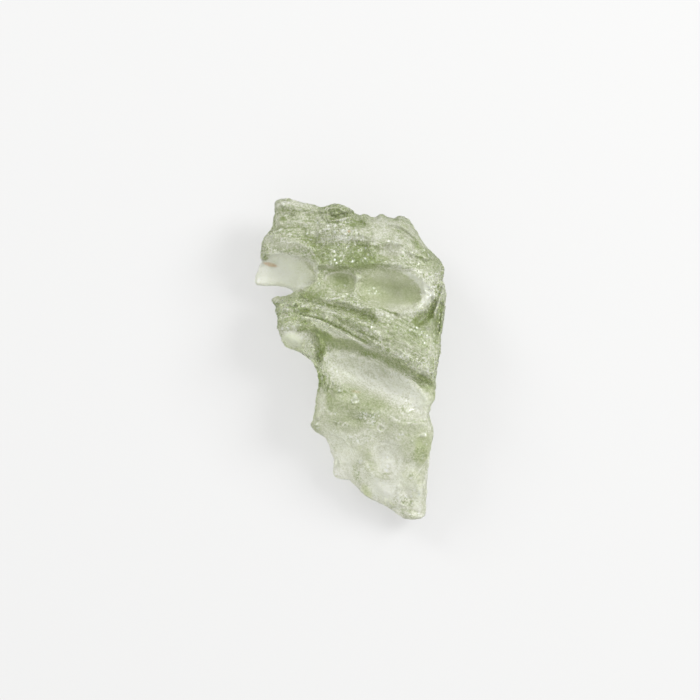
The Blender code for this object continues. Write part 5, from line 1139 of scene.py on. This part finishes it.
def grain(u, v, w, no):
    """Coordinates that are stretched along the flow lines, and how clearly the lines show."""
    warp = 2.0 * noise(u / 26, v / 26, 1.5, 3) + 0.8 * noise(u / 9, v / 9, 1.5, 4)
    first, second = np.full(len(u), 0.12), np.zeros(len(u))
    run, across, gaps = u * 0.97 + v * 0.24, -u * 0.24 + v * 0.97 + warp, np.full(len(u), 3.6)
    for cu, cv, ru, rv, deg, way, gap, high in FLOW:
        a = smooth((1.35 - oval(u, v, cu, cv, ru, rv, deg)) / 0.6)
        c, s = math.cos(math.radians(way)), math.sin(math.radians(way))
        win = a > first
        second = np.where(win, first, np.maximum(second, a))
        run = np.where(win, u * c + v * s, run)
        across = np.where(win, -u * s + v * c + warp, across)
        gaps = np.where(win, gap, gaps)
        first = np.where(win, a, first)
    show = np.clip(4 * (first - second), 0, 1) * np.clip(first, 0.35, 1)
    wall = 1 - smooth((no[:, 2] - 0.1) / 0.25)
    at = np.stack([run / 8, across + 0.7 * w, w / 8], 1)
    side = np.stack([u / 7, v / 7, w + 0.12 * u + 3 * warp / 3.6], 1)
    flat_under = smooth((-no[:, 2] - 0.5) / 0.3)
    side = np.where((flat_under > 0.5)[:, None], np.stack([(u * 0.9 + v * 0.4) / 6, v * 0.9 - u * 0.4 + warp, w / 6], 1), side)
    at = np.where((wall > 0.5)[:, None], side, at)
    show = show * (1 - wall) + 0.8 * wall
    show = show * (1 - 0.9 * np.exp(-((wall - 0.5) / 0.2) ** 2)) * (1 - 0.9 * np.exp(-((flat_under - 0.5) / 0.2) ** 2))
    return at, show


def paint(ob):
    """Attributes for the glass shader, worked out from the shape and the tone of each patch."""
    mesh = ob.data
    co, no = points(mesh), normals(mesh)
    u, v, z = sketch(co)
    w = z / SU
    rim = both_sides(u, v)[2]
    thin = np.maximum(region(u, v, ((275, 272, 30, 18, 0, 1.0), (340, 460, 22, 28, 0, 0.8))), smooth((v - 430) / 40) * 0.5)
    # the tone of the upper side runs down over the edge and fades out unevenly
    skirt = smooth((w - 13 + 7 * fractal(u / 15, v / 15, w / 9, 408, 3)) / 15) * np.exp(-(rim / 14) ** 2) * (1 - thin)
    up = np.maximum(smooth((no[:, 2] + 0.62) / 0.80), skirt)
    gv, gu = np.mgrid[185:535:1.0, 240:460:1.0]
    k = sampled(blurred(smooth_field(gu, gv), 3.2), u, v, 240.0, 185.0, 1.0)
    fine, mid = hollowness(mesh, (4, 24))
    tone, glint, flap = tone_field(u, v)
    wall = 0.50 + 0.22 * fractal(u / 20, v / 20, w / 10, 401, 4)
    tone = tone * up + wall * (1 - up)
    # the lower half is less deeply etched
    k = np.maximum(k, 0.78 * smooth((v - 380) / 20) + 0.08 * smooth((v - 425) / 20))
    k = np.maximum(k, region(u, v, ((387, 234, 32, 15, 10, 0.55), (428, 266, 12, 7, 0, 0.5), (412, 260, 10, 5, -10, 0.4),
                                    (391, 252.5, 13, 5, -8, 0.75), (284, 243, 18, 6, 5, 0.4),
                                    (404, 337, 24, 14, 20, 0.65), (420, 338, 22, 16, 20, 0.6),
                                    (395, 318, 16, 8, 15, 0.5), (415, 241, 24, 12, 42, 0.55), (292, 217, 32, 15, 8, 0.4),
                                    (318, 292, 10, 9, 0, 0.5))))
    # flecks that stay rough on the smooth ground
    k = k * (1 - region(u, v, ((419, 454, 8, 6, -30, 0.6), (407, 503, 7, 4, 30, 0.8), (356.5, 475, 3, 9, -14, 0.7),
                               (366, 470, 5, 9, -30, 0.35), (412, 476, 3, 5, 20, 0.5), (360, 438, 14, 4, -5, 0.4),
                               (409, 514, 12, 4, 12, 0.35), (397, 496, 4, 9, 5, 0.3),
                               (414, 373, 19, 8, 28, 0.8), (406, 404, 10, 8, 30, 0.5), (368, 417, 14, 7, 20, 0.35),
                               (427, 293, 6, 12, 20, 0.5))))
    k = k * up + 0.15 * (1 - up)
    speck = noise(u / 2.1, v / 2.1, w / 2.1, 402) + 0.6 * noise(u / 4.2, v / 4.2, w / 4.2, 403)
    blotch = fractal(u / 9, v / 9, w / 9, 404, 3)
    tone = tone + (0.04 * speck + 0.015 * blotch) * (1 - 0.7 * k)
    # painted shade in the grooves and painted light on the crests, worked out from how far each point lies under the
    # smoothed surface round it
    tone = tone - np.clip(1.6 * fine, -0.09, 0.09) - np.clip(0.2 * mid, -0.03, 0.03)
    # painted shade: a dark line along the rim, as at the edge of the glass
    tone = tone - 0.28 * np.exp(-(rim / 1.5) ** 2) * (1 - thin) * (0.7 + 0.5 * noise(u / 6, v / 6, 2.0, 407)) * up
    under = smooth((-no[:, 2] - 0.5 + 0.22 * fractal(u / 16, v / 16, w / 8, 406, 3)) / 0.55)
    tone = tone + (0.90 + 0.10 * speck - tone) * under * (1 - 0.85 * skirt)
    tone = np.clip(tone, -0.3, 1)
    sparkle = region(u, v, SPARKLE) * up + 0.25 * (1 - up)
    yellow = region(u, v, ((294, 343, 12, 8, 28, 0.7), (417, 496, 6, 11, 5, 0.5), (283, 274, 34, 18, 0, 0.3), (392, 292, 34, 19, 7, 0.36), (341, 282, 16, 10, 10, 0.3), (386, 279, 28, 9, 5, 0.6), (367, 492, 8, 4, 55, 0.8),
                           (423, 447, 9, 20, 0, 0.4), (289, 321, 10, 4, 5, 0.4), (283, 281, 26, 7, 0, 0.45), (286, 272, 28, 15, 0, 0.35),
                           (428, 395, 8, 14, 10, 0.4), (410, 480, 12, 10, 0, 0.4)))
    clay = smooth((1.25 - oval(u, v, 270, 264.3, 7.5, 2.0, 14)) / 0.6) * (0.75 + 0.25 * noise(u / 2, v / 2, 0, 405))
    clay = np.maximum(clay, 0.8 * smooth((1.3 - oval(u, v, 349, 233, 1.4, 1.1, 0)) / 0.6))
    clay = np.maximum(clay, 0.22 * smooth((1.3 - oval(u, v, 356, 391.5, 5, 1.2, 10)) / 0.6))
    at, show = grain(u, v, w, no)
    show = show * (1 - 0.65 * smooth((v - 382) / 16) * up)
    fleck = region(u, v, FLECKS) * up
    for name, value in (("tone", tone), ("smoothness", k), ("glint", glint * up), ("sparkle", sparkle),
                        ("yellow", yellow * up), ("fleck", fleck), ("clay", np.clip(clay, 0, 1) * up), ("grain_show", show)):
        att = mesh.attributes.new(name, "FLOAT", "POINT")
        att.data.foreach_set("value", value.astype(np.float32))
    att = mesh.attributes.new("grain", "FLOAT_VECTOR", "POINT")
    att.data.foreach_set("vector", at.astype(np.float32).ravel())


# ---- glass -----------------------------------------------------------------
class Nodes:
    """Short names for making shader nodes."""

    def __init__(self, material):
        material.use_nodes = True
        self.tree = material.node_tree
        self.bsdf = self.tree.nodes["Principled BSDF"]
        self.out = self.tree.nodes["Material Output"]

    def put(self, socket, value):
        if isinstance(value, bpy.types.NodeSocket):
            self.tree.links.new(value, socket)
        else:
            socket.default_value = value

    def attribute(self, name, kind="Fac"):
        node = self.tree.nodes.new("ShaderNodeAttribute")
        node.attribute_name = name
        return node.outputs[kind]

    def math(self, op, a, b=0.0, c=0.0, clamp=False):
        node = self.tree.nodes.new("ShaderNodeMath")
        node.operation = op
        node.use_clamp = clamp
        for socket, value in zip(node.inputs, (a, b, c)):
            self.put(socket, value)
        return node.outputs[0]

    def mix(self, a, b, fac):
        node = self.tree.nodes.new("ShaderNodeMix")
        node.data_type = "RGBA"
        self.put(node.inputs[0], fac)
        self.put(node.inputs[6], a)
        self.put(node.inputs[7], b)
        return node.outputs[2]

    def noise(self, where, scale, detail=2.0, rough=0.5, distortion=0.0):
        node = self.tree.nodes.new("ShaderNodeTexNoise")
        for name, value in (("Vector", where), ("Scale", scale), ("Detail", detail), ("Roughness", rough),
                            ("Distortion", distortion)):
            self.put(node.inputs[name], value)
        return node.outputs["Fac"]

    def strokes(self, value, thin):
        """Thin lines where a noise passes through its middle value, 1 on the line."""
        off = self.math("ABSOLUTE", self.math("SUBTRACT", value, 0.5))
        return self.math("SUBTRACT", 1.0, self.math("MULTIPLY", off, thin), clamp=True)

    def ramp(self, fac, stops):
        """Colour of a tone; the stops run from -0.3 to 1."""
        fac = self.math("MULTIPLY_ADD", fac, 1 / 1.3, 0.3 / 1.3, clamp=True)
        node = self.tree.nodes.new("ShaderNodeValToRGB")
        elements = node.color_ramp.elements
        while len(elements) < len(stops):
            elements.new(0.5)
        for e, (pos, col) in zip(elements, stops):
            e.position = (pos + 0.3) / 1.3
            e.color = tuple(col) + (1,)
        self.put(node.inputs["Fac"], fac)
        return node.outputs["Color"]


TONES = (
    (-0.30, (0.20, 0.26, 0.075)),
    (0.00, (0.398, 0.440, 0.257)),
    (0.20, (0.518, 0.542, 0.393)),
    (0.45, (0.687, 0.689, 0.592)),
    (0.70, (0.915, 0.914, 0.858)),
    (0.90, (0.99, 0.99, 0.965)),
    (1.00, (1.0, 1.0, 0.985)),
)


def glass_material():
    mat = bpy.data.materials.new("moldavite_glass")
    n = Nodes(mat)
    n.bsdf.inputs["IOR"].default_value = 1.49
    n.bsdf.inputs["Specular IOR Level"].default_value = 0.26
    n.bsdf.inputs["Transmission Weight"].default_value = 0.75

    where = n.tree.nodes.new("ShaderNodeTexCoord").outputs["Object"]
    tone, smoothness = n.attribute("tone"), n.attribute("smoothness")
    etched = n.math("SUBTRACT", 1.0, smoothness, clamp=True)
    etched_half = n.math("MULTIPLY_ADD", etched, 0.68, 0.32)

    # hatching: lines along the flow of the glass, a fine net of etching, and grain
    flow = n.noise(n.attribute("grain", "Vector"), 0.38, 1.0, 0.5, 0.2)
    flow = n.math("MULTIPLY", n.strokes(flow, 6.0), n.attribute("grain_show"))
    net = n.strokes(n.noise(where, 4300.0, 1.0, 0.5, 0.5), 7.0)
    fine = n.noise(where, 7500.0, 1.0, 0.5)
    hatch = n.math("ADD", n.math("MULTIPLY", flow, 0.55), n.math("MULTIPLY", net, 0.54))
    hatch = n.math("MULTIPLY", hatch, etched_half)
    speck = n.math("MULTIPLY", n.math("SUBTRACT", fine, 0.5), n.math("MULTIPLY", etched_half, 1.8))
    shade = n.math("ADD", n.math("SUBTRACT", tone, hatch), n.math("MULTIPLY", etched_half, 0.15))
    shade = n.math("ADD", shade, speck)
    spots = n.math("MULTIPLY", n.math("SUBTRACT", n.noise(where, 4600.0, 1.0, 0.5, 0.3), 0.53), 9.0, clamp=True)
    spots = n.math("MULTIPLY", spots, n.attribute("fleck"))
    shade = n.math("SUBTRACT", shade, n.math("MULTIPLY", spots, 0.45))

    # painted highlights: white sparkles of no fixed shape on the pits, from the sparkle and glint attributes
    cell = n.tree.nodes.new("ShaderNodeTexVoronoi")
    cell.feature = "F1"
    jitter = n.tree.nodes.new("ShaderNodeTexNoise")
    n.put(jitter.inputs["Vector"], where)
    n.put(jitter.inputs["Scale"], 5200.0)
    n.put(jitter.inputs["Detail"], 1.0)
    shift = n.tree.nodes.new("ShaderNodeVectorMath")
    shift.operation = "MULTIPLY_ADD"
    n.put(shift.inputs[0], jitter.outputs["Color"])
    shift.inputs[1].default_value = (0.00035, 0.00035, 0.00035)
    n.put(shift.inputs[2], where)
    n.put(cell.inputs["Vector"], shift.outputs[0])
    n.put(cell.inputs["Scale"], 3700.0)
    split = n.tree.nodes.new("ShaderNodeSeparateColor")
    n.put(split.inputs[0], cell.outputs["Color"])
    chosen = n.math("LESS_THAN", split.outputs[0], n.math("MULTIPLY", n.attribute("sparkle"), 0.33))
    reach = n.math("MULTIPLY_ADD", n.attribute("sparkle"), 0.07, 0.34)
    highlight_dot = n.math("MULTIPLY", n.math("SUBTRACT", reach, cell.outputs["Distance"]), 7.0, clamp=True)
    highlight_dot = n.math("MULTIPLY", n.math("MULTIPLY", highlight_dot, chosen), n.math("MULTIPLY_ADD", split.outputs[1], 0.6, 0.4), clamp=True)
    broken = n.math("MULTIPLY", n.math("SUBTRACT", n.noise(where, 7000.0, 1.0), 0.40), 7.0, clamp=True)
    highlight_dot = n.math("MAXIMUM", highlight_dot, n.math("MULTIPLY", n.attribute("glint"), broken))

    colour = n.ramp(shade, TONES)
    colour = n.mix(colour, (0.74, 0.83, 0.41, 1), n.math("MULTIPLY", n.attribute("yellow"), 0.4))
    # painted highlight: the glints and sparkles are mixed towards white
    colour = n.mix(colour, (0.96, 0.965, 0.99, 1), n.math("MULTIPLY", highlight_dot, 0.82))
    colour = n.mix(colour, (0.34, 0.38, 0.24, 1), n.math("MULTIPLY", spots, 0.45))
    colour = n.mix(colour, (0.62, 0.36, 0.17, 1), n.attribute("clay"))
    n.put(n.bsdf.inputs["Base Color"], colour)

    # painted reflection: the glints and sparkles are also made partly metallic
    n.put(n.bsdf.inputs["Metallic"], n.math("MULTIPLY", highlight_dot, 0.5))

    rough = n.math("MULTIPLY_ADD", etched, -0.30, 0.58)
    rough = n.math("ADD", rough, n.math("MULTIPLY", n.math("SUBTRACT", n.noise(where, 2300.0), 0.5), 0.2))
    rough = n.math("ADD", rough, n.math("MULTIPLY", highlight_dot, 0.25), clamp=True)
    n.put(n.bsdf.inputs["Roughness"], rough)

    height = n.math("SUBTRACT", n.math("MULTIPLY", fine, 0.9), n.math("MULTIPLY", n.math("ADD", flow, net), 0.5))
    height = n.math("MULTIPLY", height, etched_half)
    bump = n.tree.nodes.new("ShaderNodeBump")
    n.put(bump.inputs["Strength"], 0.7)
    n.put(bump.inputs["Distance"], 0.00004)
    n.put(bump.inputs["Height"], height)
    n.put(n.bsdf.inputs["Normal"], bump.outputs["Normal"])

    absorb = n.tree.nodes.new("ShaderNodeVolumeAbsorption")
    absorb.inputs["Color"].default_value = (0.50, 0.62, 0.14, 1)
    absorb.inputs["Density"].default_value = 30.0
    n.put(n.out.inputs["Volume"], absorb.outputs["Volume"])
    return mat


# ---- stage -----------------------------------------------------------------
def stage():
    """A pale sweep: a level floor that curves up into a wall all round, far from the stone."""
    bm = bmesh.new()
    profile = [(0.0, 0.0), (0.05, 0.0), (0.15, 0.0), (0.32, 0.0)]
    for i in range(1, 13):
        a = math.radians(90 * i / 12)
        profile.append((0.32 + 0.18 * math.sin(a), 0.18 - 0.18 * math.cos(a)))
    profile.append((0.5, 0.30))
    n = 96
    rings = []
    for r, z in profile:
        if r == 0:
            rings.append([bm.verts.new((0, 0, 0))])
        else:
            rings.append([bm.verts.new((r * math.cos(2 * math.pi * j / n), r * math.sin(2 * math.pi * j / n), z))
                          for j in range(n)])
    for a, b in zip(rings, rings[1:]):
        for j in range(n):
            k = (j + 1) % n
            if len(a) == 1:
                bm.faces.new((a[0], b[j], b[k]))
            else:
                bm.faces.new((a[j], b[j], b[k], a[k]))
    mesh = bpy.data.meshes.new("floor")
    bm.to_mesh(mesh)
    bm.free()
    mesh.shade_smooth()
    floor = bpy.data.objects.new("floor", mesh)
    bpy.context.scene.collection.objects.link(floor)
    mat = bpy.data.materials.new("floor_paper")
    mat.use_nodes = True
    b = mat.node_tree.nodes["Principled BSDF"]
    b.inputs["Base Color"].default_value = (0.22, 0.22, 0.2192, 1)
    b.inputs["Emission Color"].default_value = (1.0, 1.0, 0.995, 1)
    b.inputs["Emission Strength"].default_value = 0.49
    b.inputs["Roughness"].default_value = 0.9
    b.inputs["Specular IOR Level"].default_value = 0.1
    mesh.materials.append(mat)
    return floor


def area_light(name, place, aim, size, power, color=(1, 1, 1)):
    data = bpy.data.lights.new(name, "AREA")
    data.shape = "RECTANGLE"
    data.size, data.size_y = size
    data.energy = power
    data.color = color
    ob = bpy.data.objects.new(name, data)
    ob.location = place
    d = np.array(aim) - np.array(place)
    ob.rotation_euler = mathutils.Vector(d).to_track_quat("-Z", "Y").to_euler()
    bpy.context.scene.collection.objects.link(ob)
    return ob


import mathutils

stone = build_stone()
paint(stone)
stone.data.materials.append(glass_material())
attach(stone, "root")
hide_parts("moldavite")
stage()

scene = bpy.context.scene
world = bpy.data.worlds.new("studio")
world.use_nodes = True
world.node_tree.nodes["Background"].inputs["Color"].default_value = (1.0, 1.0, 1.0, 1)
world.node_tree.nodes["Background"].inputs["Strength"].default_value = 1.06
scene.world = world
area_light("softbox_key", (-0.24, 0.26, 0.20), (0, 0, 0.003), (0.14, 0.14), 0.95)
area_light("softbox_right", (0.28, 0.14, 0.22), (0, 0, 0.003), (0.16, 0.16), 1.85)

scene.view_settings.view_transform = "Standard"
scene.view_settings.look = "None"
scene.view_settings.exposure = 0.0
scene.view_settings.gamma = 1.0

cam_data = bpy.data.cameras.new("camera")
cam_data.sensor_width = 36.0
cam_data.lens = 150.0
cam_data.clip_start = 0.01
cam_data.clip_end = 10.0
cam = bpy.data.objects.new("camera", cam_data)
cam.location = (-0.00002, 0.00079, 0.2333 + 0.0035)
cam.rotation_euler = (0, 0, 0)
scene.collection.objects.link(cam)
scene.camera = cam
